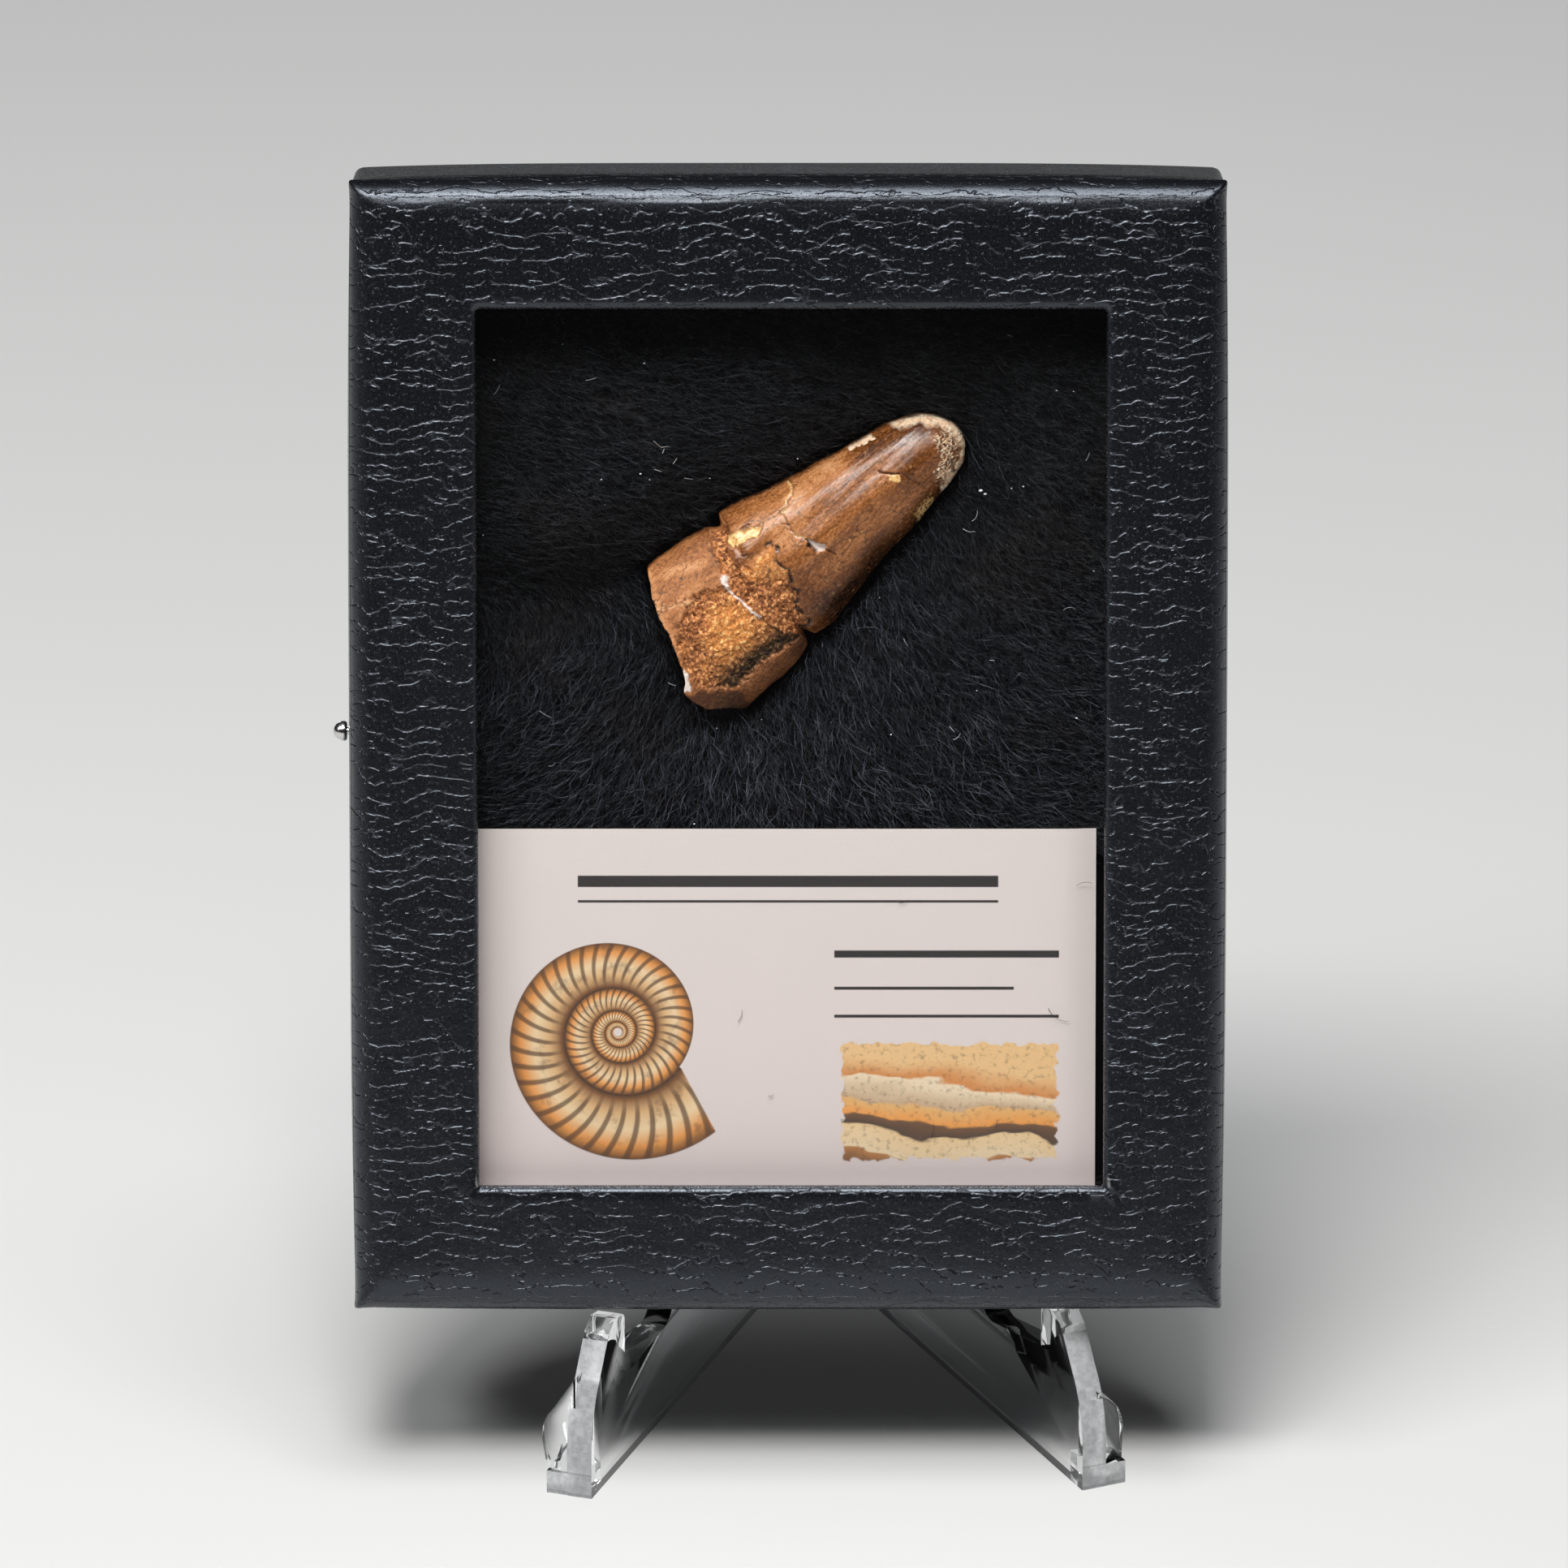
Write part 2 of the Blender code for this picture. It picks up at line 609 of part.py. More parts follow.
def make_plate(name, side, parts, cutters, stand, material):
    """One plate: side is -1 on the left, +1 on the right. Its pad and fin stand outboard."""
    upright = Matrix.Rotation(math.radians(90.0), 4, "X")
    plate = new_object(name, stand_up(flat_shape(name, plate_outline(), PLATE_THICKNESS), upright),
                       parts, stand, material)
    half = PLATE_THICKNESS / 2
    overlap = 0.6 * MM
    pad_reach = half + FOOT_PAD_WIDTH
    pad = block_mesh((0.05 * MM, half - overlap, 0.0), (FOOT_PAD_DEPTH, pad_reach, FOOT_PAD_HEIGHT))
    reach, top = (FIN_REACH_LEFT, FIN_TOP_LEFT) if side < 0 else (FIN_REACH_RIGHT, FIN_TOP_RIGHT)
    tip = half + reach
    fin_outline = [(half - overlap, 0.4 * MM), (pad_reach - 0.1 * MM, 0.4 * MM)]
    fin_outline += bezier_corner((tip, 5.2 * MM), (tip, 7.2 * MM), (tip - 1.2 * MM, 8.4 * MM), 4)
    fin_outline += [(half - overlap, top)]
    fin = flat_shape(name, fin_outline, FIN_THICKNESS)
    turned = Matrix.Translation((FIN_SET_BACK + FIN_THICKNESS / 2, 0.0, 0.0))
    turned = turned @ Matrix.Rotation(math.radians(90.0), 4, "Z") @ upright
    outboard = Matrix.Diagonal((1.0, -side, 1.0, 1.0))
    for label, mesh in (("pad", pad), ("fin", stand_up(fin, turned))):
        mesh.transform(outboard)
        if side > 0:
            mesh.flip_normals()
        piece = as_cutter(new_object(f"{name}_{label}", mesh, cutters, plate))
        if label == "pad":
            add_bevel(piece, 0.5 * MM)
        add_boolean(plate, piece, "UNION")
    plate.location = (side * plate_reach(), half * math.sin(PLATE_SPREAD), 0.0)
    plate.rotation_euler = (0.0, 0.0, math.radians(90.0) + side * PLATE_SPREAD)
    return plate


def cut_half_laps(left, right, cutters, stand):
    """Slots where the plates cross: the left one open below, the right one open above."""
    cross_s = plate_reach() / math.sin(PLATE_SPREAD)
    meet_z = 10.5 * MM
    half = PLATE_THICKNESS / 2 + GAP
    length = 9.0 * MM
    for plate, other, low, high in ((left, right, -5 * MM, meet_z + GAP / 2),
                                    (right, left, meet_z - GAP / 2, 60 * MM)):
        slot_mesh = block_mesh((cross_s - length, -half, low), (cross_s + length, half, high))
        slot = as_cutter(new_object(plate.name + "_slot", slot_mesh, cutters, stand))
        slot.location = other.location
        slot.rotation_euler = other.rotation_euler
        add_boolean(plate, slot)


# Assembly

def evaluated_bounds(collection):
    """Lowest and highest corner of everything in a collection, in world space."""
    bpy.context.view_layer.update()
    graph = bpy.context.evaluated_depsgraph_get()
    low = Vector((math.inf,) * 3)
    high = Vector((-math.inf,) * 3)
    for thing in collection.objects:
        if thing.type != "MESH":
            continue
        drawn = thing.evaluated_get(graph)
        mesh = drawn.to_mesh()
        for vert in mesh.vertices:
            spot = drawn.matrix_world @ vert.co
            low = Vector(map(min, low, spot))
            high = Vector(map(max, high, spot))
        drawn.to_mesh_clear()
    return low, high


def main():
    clear_scene()
    parts = new_collection("fossil_tooth_display")
    cutters = new_collection("cutters")
    leatherette = new_material("black leatherette", (0.012, 0.013, 0.017), 0.38)
    tray_black = new_material("black tray wrap", (0.015, 0.015, 0.018), 0.5)
    pile = new_material("black pile", (0.010, 0.011, 0.014), 0.85)
    card_stock = new_material("card stock", (0.62, 0.56, 0.50), 0.7)
    fossil = new_material("fossil enamel", (0.26, 0.12, 0.045), 0.42)
    steel = new_material("pin steel", (0.62, 0.62, 0.63), 0.22, metallic=1.0)
    clear_glass = new_material("window glass", (1.0, 1.0, 1.0), 0.02, transmission=1.0, ior=1.5)
    acrylic = new_material("clear acrylic", (0.97, 0.98, 0.98), 0.04, transmission=1.0, ior=1.49)

    specimen = new_empty("specimen", parts)
    box = new_empty("leaning_box", parts, specimen)
    box.location = (0.0, BOX_FRONT_EDGE_Y, BOX_FRONT_EDGE_Z)
    box.rotation_euler = (-BOX_LEAN, 0.0, 0.0)
    stand = new_empty("easel", parts, specimen)
    stand.location = (EASEL_CENTRE_X, 0.0, 0.0)
    stand.rotation_euler = (0.0, 0.0, EASEL_YAW)

    bore = make_bore(cutters, box)
    pocket = new_object("tooth_pocket", tooth_mesh(28, 28, swell=0.8), cutters, box)
    as_cutter(place_tooth(pocket))

    lid = new_object("lid", lid_mesh(), parts, box, leatherette)
    add_boolean(lid, bore)
    shade(lid)
    tray = make_tray(parts, box, tray_black)
    add_boolean(tray, bore)
    make_glass(parts, box, clear_glass)
    make_card(parts, box, card_stock)
    make_tooth(parts, box, fossil)
    make_lining(parts, box, pile, pocket, bore)
    make_pin(parts, box, steel)

    left = make_plate("easel_plate_left", -1, parts, cutters, stand, acrylic)
    right = make_plate("easel_plate_right", 1, parts, cutters, stand, acrylic)
    cut_half_laps(left, right, cutters, stand)

    low, high = evaluated_bounds(parts)
    specimen.location = (-(low.x + high.x) / 2, -(low.y + high.y) / 2, -low.z)


main()
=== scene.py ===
"""Looks of a fossil tooth in a wrapped display box on a clear easel.

The box's own frame carries most pieces: x to the right, y from the front face into the box,
z up from its bottom edge. Patterns and tables are in millimetres, meshes in metres.
"""

import math

import bmesh
import bpy
import numpy as np
from mathutils import Matrix, Vector


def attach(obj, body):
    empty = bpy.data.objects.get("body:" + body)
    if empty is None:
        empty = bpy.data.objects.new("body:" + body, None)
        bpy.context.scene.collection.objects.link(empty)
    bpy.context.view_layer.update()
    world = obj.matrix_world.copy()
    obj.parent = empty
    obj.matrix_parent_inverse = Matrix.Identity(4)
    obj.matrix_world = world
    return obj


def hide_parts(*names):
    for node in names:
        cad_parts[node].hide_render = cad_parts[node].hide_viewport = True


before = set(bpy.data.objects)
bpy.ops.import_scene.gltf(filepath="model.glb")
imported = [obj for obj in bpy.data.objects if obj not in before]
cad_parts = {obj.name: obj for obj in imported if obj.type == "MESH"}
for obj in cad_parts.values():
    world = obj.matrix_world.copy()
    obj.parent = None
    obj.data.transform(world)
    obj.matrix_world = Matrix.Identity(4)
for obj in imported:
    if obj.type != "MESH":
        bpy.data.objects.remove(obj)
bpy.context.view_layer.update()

MM = 0.001

# Where the leaning box and the easel stand in the frame
BOX_LEAN = math.radians(13.0)
BOX_ORIGIN = Vector((0.8, -33.425, 18.15)) * MM
BOX_PLACE = Matrix.Translation(BOX_ORIGIN) @ Matrix.Rotation(-BOX_LEAN, 4, "X")
EASEL_YAW = math.radians(2.4)
EASEL_PLACE = Matrix.Translation((5.5 * MM, -35.725 * MM, 0.0)) @ Matrix.Rotation(EASEL_YAW, 4, "Z")

# Display box, in millimetres
BOX_WIDTH = 82.55
BOX_HEIGHT = 107.95
BOX_DEPTH = 19.0
GAP = 0.3
SKIRT_DEPTH = 15.2
SKIRT_WALL = 1.5
SKIRT_BULGE = 0.45
LID_BOARD = 1.6
LID_EDGE_RADIUS = 2.3
WINDOW = (-29.4, 30.0, 12.05, 96.0)
TRAY_WALL = 1.4
TRAY_FRONT = 4.2
CARD = (-29.0, 29.3, 8.0, 45.95)
CARD_THICKNESS = 0.5

# Tooth: u runs from the broken root end to the tip, v across the face
TOOTH_TURN = math.radians(41.2)
TOOTH_ORIGIN = (-7.2, 62.9)
TOOTH_DEPTH = 10.0
TOOTH_PLACE = (Matrix.Translation(Vector((TOOTH_ORIGIN[0], TOOTH_DEPTH, TOOTH_ORIGIN[1])) * MM)
               @ Matrix.Rotation(-TOOTH_TURN, 4, "Y"))
UPPER_SIDE = [
    (-2.0, 9.6), (0.3, 9.75), (2.4, 9.7), (5.2, 9.3), (7.2, 8.8), (8.1, 8.4), (8.9, 9.1),
    (11.7, 8.5), (15.6, 7.35), (19.2, 6.6), (22.2, 5.95), (26.8, 4.95), (29.2, 3.9),
    (30.6, 2.6), (31.2, 1.1), (31.4, 0.3),
]
LOWER_SIDE = [
    (-5.0, -6.5), (0.0, -6.65), (4.8, -6.5), (7.0, -5.9), (7.6, -4.7), (8.3, -5.8),
    (10.2, -5.9), (11.9, -5.5), (14.9, -5.0), (17.9, -4.4), (22.0, -4.05), (25.3, -3.45),
    (27.3, -3.15), (29.2, -2.6), (30.7, -1.5), (31.4, 0.1),
]
ROOT_EDGE = [
    (-6.7, -1.5), (-5.7, -2.3), (-3.8, -4.2), (-1.7, -4.7), (-0.3, -3.7), (2.1, -2.7),
    (3.8, -2.1), (5.8, -1.7), (7.5, -1.0), (9.8, 0.3),
]
HALF_DEPTH = [
    (-5.0, 5.1), (4.0, 5.25), (10.0, 5.2), (16.0, 4.75), (22.0, 4.1), (26.0, 3.5),
    (29.0, 2.7), (30.6, 1.75), (31.2, 0.9), (31.4, 0.3),
]

# What time and the dig have left on the front of the tooth, as (u, v) in millimetres
TIP_RIM = [(27.4, 4.9), (29.5, 3.7), (30.9, 2.2), (31.5, 0.8), (31.4, -0.4), (30.7, -1.7), (29.7, -2.6),
           (28.5, -3.1), (27.0, -3.4)]
TIP_FLAKES = [(29.2, 1.3), (30.3, 0.8), (30.5, -0.2), (29.7, -1.2), (28.3, -2.2), (26.6, -2.4),
              (27.2, -1.2), (28.6, -0.5)]
PALE_CHIP = [(22.1, 6.4), (23.3, 6.3), (24.6, 5.9), (24.9, 4.8), (24.2, 5.0), (23.0, 5.3), (22.3, 5.7)]
DARK_GLOSS = [(24.3, 5.2), (27.0, 4.3), (29.3, 3.0), (28.8, 1.6), (24.7, 3.4), (22.0, 4.5)]
OCHRE_PIT = [(23.6, 1.5), (24.2, 1.3), (24.4, 0.8), (24.1, 0.5), (23.6, 0.8), (23.5, 1.2)]
OCHRE_PATCH = [(8.4, 7.2), (9.4, 7.0), (10.6, 6.2), (11.3, 5.7), (10.6, 5.5), (9.6, 5.7), (8.6, 5.9),
               (8.0, 6.2), (8.0, 6.8)]
OCHRE_EDGE = [(25.4, -2.5), (24.6, -2.7), (23.7, -2.8), (22.9, -2.9), (22.4, -4.2), (23.6, -4.2),
              (24.9, -3.7)]
ORANGE_AREA = [(7.9, 4.6), (9.3, 4.3), (10.3, 4.4), (11.1, 4.0), (10.7, 3.3), (10.4, 2.4), (10.5, 1.4),
               (9.9, 0.8), (8.9, 1.0), (7.8, 1.7), (7.2, 2.6), (7.2, 3.9)]
HOLE = [(13.8, 2.3), (14.2, 1.6), (14.8, 0.6), (14.4, 0.3), (13.7, 0.6), (13.6, 1.6)]
GRANULAR_LOW = [(3.3, 4.9), (4.5, 4.1), (5.3, 2.8), (5.3, 1.2), (5.9, -1.6), (6.3, -3.7), (7.2, -4.8),
                (5.8, -4.6), (3.3, -4.2), (-0.5, -4.3), (-2.7, -2.5), (-3.2, -0.2), (-2.0, 2.8),
                (0.2, 4.3), (2.2, 5.0)]
GRANULAR_HIGH = [(6.7, 4.7), (7.9, 4.6), (8.0, 1.6), (9.9, 0.8), (9.8, -0.6), (8.9, -2.1), (8.4, -3.9),
                 (7.5, -4.7), (5.8, -2.3), (5.3, 1.2), (5.2, 3.3)]
LUMPS = [(0.8, 6.0), (3.1, 4.7), (1.5, 2.7), (-0.3, 1.9), (-1.8, 3.0), (-0.7, 4.5)]
BOTTOM_FACET = [(-5.5, -1.0), (-2.9, -2.7), (-0.7, -4.5), (-1.0, -7.5), (-5.0, -5.5)]
PALE_STREAKS = [[(-1.6, 6.5), (2.7, 4.3)], [(0.1, 8.9), (4.9, 6.8)]]
WHITE_BLOB = [(5.5, 5.0), (5.8, 4.4), (5.3, 3.7), (4.9, 3.7), (5.0, 4.4)]
WHITE_EDGE = [(-3.3, 0.3), (-3.4, -0.4), (-4.0, -1.4), (-4.7, -1.2), (-4.4, 0.2)]
FRACTURE = [(8.2, 9.2), (7.7, 7.9), (7.0, 6.6), (6.5, 5.2), (6.0, 3.6), (5.9, 1.7)]
WHITE_CRACK = [(5.0, 3.6), (5.3, 1.1), (5.5, -0.6)]
GLUE_CRACK = [(5.5, -0.6), (5.8, -2.3), (6.3, -3.7), (7.5, -5.2)]
DARK_CRACK = [(11.2, 3.8), (11.0, 3.1), (10.3, 2.5), (10.6, 1.2), (10.0, -0.1), (9.8, -1.2), (8.9, -2.0),
              (8.8, -3.1), (8.7, -4.0), (7.7, -4.5)]
ORANGE_CRACK = [(8.0, 5.0), (8.6, 4.7), (9.4, 4.4), (10.2, 4.5), (11.2, 4.1), (10.8, 3.2)]
RIDGE_LINE = [(8.0, 5.2), (10.0, 5.2), (15.7, 4.5), (20.4, 4.2), (26.0, 3.1), (31.0, 1.5)]
SIDE_CRACK = [(16.0, 7.6), (16.2, 6.7), (15.5, 6.1), (14.7, 5.8), (13.5, 5.6), (13.6, 5.1), (13.3, 4.3),
              (13.4, 3.1), (13.8, 2.2)]
SIDE_CRACK_RIM = [(16.1, 7.0), (15.4, 6.3), (14.6, 5.9), (13.7, 5.5)]
HOLE_RIM = [(13.4, 3.1), (13.8, 2.4)]
HOLE_TAIL = [(14.5, 0.4), (15.0, -0.8)]
PIT_CRACK = [(23.2, 2.4), (23.8, 1.6), (24.5, 1.0)]
HAIRLINE = [(24.7, 0.9), (25.0, -0.4), (25.4, -1.8)]
PATCH_CRACK = [(9.7, 6.9), (10.6, 6.7), (10.8, 6.2), (11.6, 6.0)]
OLIVE_BAND = [(-0.4, -4.1), (2.2, -4.0), (4.6, -4.3), (6.5, -4.9)]
YELLOW_CENTRE = (2.8, 0.0)
SPECKS = [(12.2, -3.5), (16.8, -0.6), (16.2, -2.2), (13.2, -1.0), (13.7, -4.7), (10.6, -3.4),
          (12.3, -5.3), (17.8, -4.6), (25.7, 0.8), (14.3, -1.8)]

# Camera of the reference view
CAMERA_PLACE = (0.42 * MM, -1088.475 * MM, 487.8 * MM)
CAMERA_TILT = math.radians(68.5)
CAMERA_LENS = 277.94


# Number helpers

def rise(low, high, x):
    """A soft step from 0 to 1."""
    t = np.clip((x - low) / (high - low), 0.0, 1.0)
    return t * t * (3.0 - 2.0 * t)


def fall(low, high, x):
    """A soft step from 1 to 0."""
    return 1.0 - rise(low, high, x)


def hump(x, centre_x, reach_x, z=0.0, centre_z=0.0, reach_z=1.0):
    """A soft hump in one or two directions, 1 at its centre."""
    return np.exp(-((x - centre_x) / reach_x) ** 2 - ((z - centre_z) / reach_z) ** 2)


def unit(vectors):
    """The same vectors with length 1."""
    return vectors / np.maximum(np.linalg.norm(vectors, axis=-1), 1e-9)[..., None]


def smooth_table(table, x):
    """Read a list of (x, value) points with a curve that doesn't overshoot between them."""
    px, py = np.array(table, float).T
    run = np.diff(px)
    slope = np.diff(py) / run
    same_way = slope[:-1] * slope[1:] > 0.0
    pair = np.where(same_way, slope[:-1] + slope[1:], 1.0)
    tangent = np.zeros(len(px))
    tangent[1:-1] = np.where(same_way, 2.0 * slope[:-1] * slope[1:] / pair, 0.0)
    tangent[0], tangent[-1] = slope[0], slope[-1]
    x = np.clip(x, px[0], px[-1])
    k = np.clip(np.searchsorted(px, x) - 1, 0, len(run) - 1)
    t = (x - px[k]) / run[k]
    h00 = (1 + 2 * t) * (1 - t) ** 2
    h10 = t * (1 - t) ** 2
    from_start = h00 * py[k] + h10 * run[k] * tangent[k]
    return from_start + (1 - h00) * py[k + 1] + t * t * (t - 1) * run[k] * tangent[k + 1]


class Grain:
    """Gradient noise over numpy points, about -1 to 1, the same each run."""

    def __init__(self, seed):
        chance = np.random.default_rng(seed)
        self.order = chance.permutation(256)
        self.slopes = chance.normal(size=(256, 3))
        self.slopes /= np.linalg.norm(self.slopes, axis=1)[:, None]

    def at(self, x, y, z=0.0):
        points = plane_points(x, y, z)
        cell = np.floor(points).astype(int)
        local = points - cell
        fade = local ** 3 * (local * (local * 6.0 - 15.0) + 10.0)
        total = np.zeros(len(points))
        for corner in np.ndindex(2, 2, 2):
            spot = cell + corner
            index = self.order[spot[:, 0] & 255]
            index = self.order[(index + spot[:, 1]) & 255]
            index = self.order[(index + spot[:, 2]) & 255]
            weight = np.prod(np.where(corner, fade, 1.0 - fade), axis=1)
            total += weight * np.sum(self.slopes[index] * (local - corner), axis=1)
        return 1.6 * total

    def rough(self, x, y, z=0.0, octaves=3):
        points = plane_points(x, y, z)
        total = np.zeros(len(points))
        for octave in range(octaves):
            total += self.at(*(points * 2.0 ** octave + 17.0 * octave).T) / 2.0 ** octave
        return total


def plane_points(x, y, z=0.0):
    """Three columns from coordinates that may be single numbers."""
    x, y, z = np.broadcast_arrays(x, y, z)
    return np.column_stack((x.ravel(), y.ravel(), z.ravel())).astype(float)


def line_distance(spots, line):
    """Distance of each (x, y) spot from a chain of straight runs."""
    nearest = np.full(len(spots), np.inf)
    line = np.array(line, float)
    for start, end in zip(line, line[1:]):
        way = end - start
        t = np.clip((spots - start) @ way / (way @ way), 0.0, 1.0)
        nearest = np.minimum(nearest, np.linalg.norm(spots - start - t[:, None] * way, axis=1))
    return nearest


def inside_depth(spots, outline):
    """Distance inside an outline, negative outside it."""
    ring = np.array(outline, float)
    inside = np.zeros(len(spots), bool)
    for (x0, y0), (x1, y1) in zip(ring, np.roll(ring, -1, axis=0)):
        spans = (spots[:, 1] < y0) != (spots[:, 1] < y1)
        if y1 != y0:
            inside ^= spans & (spots[:, 0] < x0 + (x1 - x0) * (spots[:, 1] - y0) / (y1 - y0))
    distance = line_distance(spots, np.vstack((ring, ring[:1])))
    return np.where(inside, distance, -distance)


# Mesh helpers

def mesh_from_arrays(name, verts, face_sets):
    """A smooth mesh from vertex rows and one or more arrays of equal-sided faces."""
    mesh = bpy.data.meshes.new(name)
    mesh.from_pydata(np.asarray(verts, np.float32), [], sum((faces.tolist() for faces in face_sets), []))
    mesh.shade_smooth()
    return mesh


def grid_faces(rows, columns, closed_columns=False, closed_rows=False):
    """Quads of a grid of vertices that are numbered row by row."""
    r = np.arange(rows if closed_rows else rows - 1)
    c = np.arange(columns if closed_columns else columns - 1)
    r, c = (item.ravel() for item in np.meshgrid(r, c, indexing="ij"))
    r2, c2 = (r + 1) % rows, (c + 1) % columns
    return np.column_stack((r * columns + c, r * columns + c2, r2 * columns + c2, r2 * columns + c))


def grid_spots(left, right, low, high, columns, rows):
    """x and z of a flat grid, row by row from the bottom."""
    x, z = np.meshgrid(np.linspace(left, right, columns), np.linspace(low, high, rows))
    return x.ravel(), z.ravel()


def closed_slab(name, front, behind, rows, columns):
    """Two grids of vertices that are numbered row by row, joined into one solid round their rims."""
    faces = grid_faces(rows, columns)
    count = len(front)
    rim = np.concatenate((np.arange(columns), np.arange(1, rows) * columns + columns - 1,
                          (rows - 1) * columns + np.arange(columns - 2, -1, -1),
                          np.arange(rows - 2, 0, -1) * columns))
    after = np.roll(rim, -1)
    walls = np.column_stack((rim, after, after + count, rim + count))
    return mesh_from_arrays(name, np.vstack((front, behind)) * MM, [faces, faces[:, ::-1] + count, walls])


def keep(mesh, name, values):
    """Store a number or a vector for each vertex under a name that a material can read."""
    values = np.asarray(values, np.float32)
    kind, field = ("FLOAT", "value") if values.ndim == 1 else ("FLOAT_VECTOR", "vector")
    mesh.attributes.new(name, kind, "POINT").data.foreach_set(field, values.ravel())


def written(builder, mesh):
    """Put a builder's work into a mesh and let the builder go."""
    builder.to_mesh(mesh)
    builder.free()
    return mesh


def face_outwards(mesh):
    builder = bmesh.new()
    builder.from_mesh(mesh)
    bmesh.ops.recalc_face_normals(builder, faces=builder.faces)
    return written(builder, mesh)


def linked(name, data):
    """A new object in the scene."""
    made = bpy.data.objects.new(name, data)
    bpy.context.scene.collection.objects.link(made)
    return made


def add_piece(name, mesh, material, replaced=(), place=BOX_PLACE):
    """Stand a mesh in the frame, riding on the one body."""
    piece = linked(name, mesh)
    piece.matrix_world = place
    if material:
        mesh.materials.append(material)
    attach(piece, "root")
    if replaced:
        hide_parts(*replaced)


# Material helpers

class Signal:
    """A node's output that takes part in sums as a number or a vector would."""

    def __init__(self, painter, socket):
        self.painter, self.socket = painter, socket

    def result(self, operation, a, b):
        kind = "ShaderNodeMath" if self.socket.type == "VALUE" else "ShaderNodeVectorMath"
        return self.painter.signal(kind, {0: a, 1: b}, operation=operation)

    def __add__(self, other):
        return self.result("ADD", self, other)

    def __sub__(self, other):
        return self.result("SUBTRACT", self, other)

    def __rsub__(self, other):
        return self.result("SUBTRACT", other, self)

    def __mul__(self, other):
        return self.result("MULTIPLY", self, other)

    def __truediv__(self, other):
        return self.result("DIVIDE", self, other)


class Painter:
    """Writes the nodes of one material, or of the world. Patterns are in millimetres."""

    def __init__(self, name, world=False):
        self.owner = (bpy.data.worlds if world else bpy.data.materials).new(name)
        self.owner.use_nodes = True
        self.tree = self.owner.node_tree
        self.shader = self.tree.nodes["Background" if world else "Principled BSDF"]

    def put(self, socket, value):
        if isinstance(value, Signal):
            value = value.socket
        if isinstance(value, bpy.types.NodeSocket):
            self.tree.links.new(value, socket)
        elif socket.type == "RGBA" and len(value) == 3:
            socket.default_value = (*value, 1.0)
        else:
            socket.default_value = value

    def node(self, kind, values=(), **settings):
        made = self.tree.nodes.new(kind)
        for setting, value in settings.items():
            setattr(made, setting, value)
        for socket, value in dict(values).items():
            self.put(made.inputs[socket], value)
        return made

    def finish(self, **values):
        """Set the shader's sockets, named with _ for a space, and return the material or world."""
        for socket, value in values.items():
            self.put(self.shader.inputs[socket.replace("_", " ")], value)
        return self.owner

    def signal(self, kind, values=(), output=0, **settings):
        return Signal(self, self.node(kind, values, **settings).outputs[output])

    def maths(self, operation, a, b=0.0):
        return self.signal("ShaderNodeMath", {0: a, 1: b}, operation=operation)

    def highest(self, first, *others):
        for other in others:
            first = self.maths("MAXIMUM", first, other)
        return first

    def object_mm(self):
        """Coordinates in the piece's own frame."""
        return self.signal("ShaderNodeTexCoord", output="Object") * ((1 / MM,) * 3)

    def split(self, vector):
        return [Signal(self, part) for part in self.node("ShaderNodeSeparateXYZ", {0: vector}).outputs]

    def joined(self, x, y):
        return self.signal("ShaderNodeCombineXYZ", {0: x, 1: y})

    def stored(self, name, output="Fac"):
        return self.signal("ShaderNodeAttribute", output=output, attribute_name=name)

    def noise(self, vector, scale, detail=2.0, roughness=0.5, output="Fac"):
        values = {"Vector": vector, "Scale": scale, "Detail": detail, "Roughness": roughness}
        return self.signal("ShaderNodeTexNoise", values, output)

    def cells(self, vector, scale, feature="F1"):
        values = {"Vector": vector, "Scale": scale}
        return self.signal("ShaderNodeTexVoronoi", values, "Distance", feature=feature)

    def step(self, value, low, high, start=0.0, end=1.0):
        values = {"Value": value, "From Min": low, "From Max": high, "To Min": start, "To Max": end}
        return self.signal("ShaderNodeMapRange", values, interpolation_type="SMOOTHSTEP")

    def blend(self, factor, a, b):
        return self.signal("ShaderNodeMix", {0: factor, 6: a, 7: b}, 2, data_type="RGBA")

    def ramp(self, factor, stops):
        made = self.node("ShaderNodeValToRGB", {0: factor})
        band = made.color_ramp
        while len(band.elements) < len(stops):
            band.elements.new(0.5)
        for element, (place, colour) in zip(band.elements, stops):
            element.position = place
            element.color = (*colour, 1.0)
        return Signal(self, made.outputs[0])

    def bump(self, height, depth_mm, strength=1.0):
        values = {"Height": height, "Distance": depth_mm * MM, "Strength": strength}
        return self.signal("ShaderNodeBump", values)

    def clear_in_shadow(self):
        """Let the light of lamps and of lit surfaces straight through a see-through material."""
        path = self.node("ShaderNodeLightPath").outputs
        through = self.node("ShaderNodeBsdfTransparent").outputs[0]
        surface = self.shader.outputs[0]
        for ray in ("Is Shadow Ray", "Is Diffuse Ray"):
            surface = self.node("ShaderNodeMixShader", {0: path[ray], 1: surface, 2: through}).outputs[0]
        output = next(n for n in self.tree.nodes if n.type == "OUTPUT_MATERIAL")
        self.tree.links.new(surface, output.inputs["Surface"])
        return self.owner


# Materials

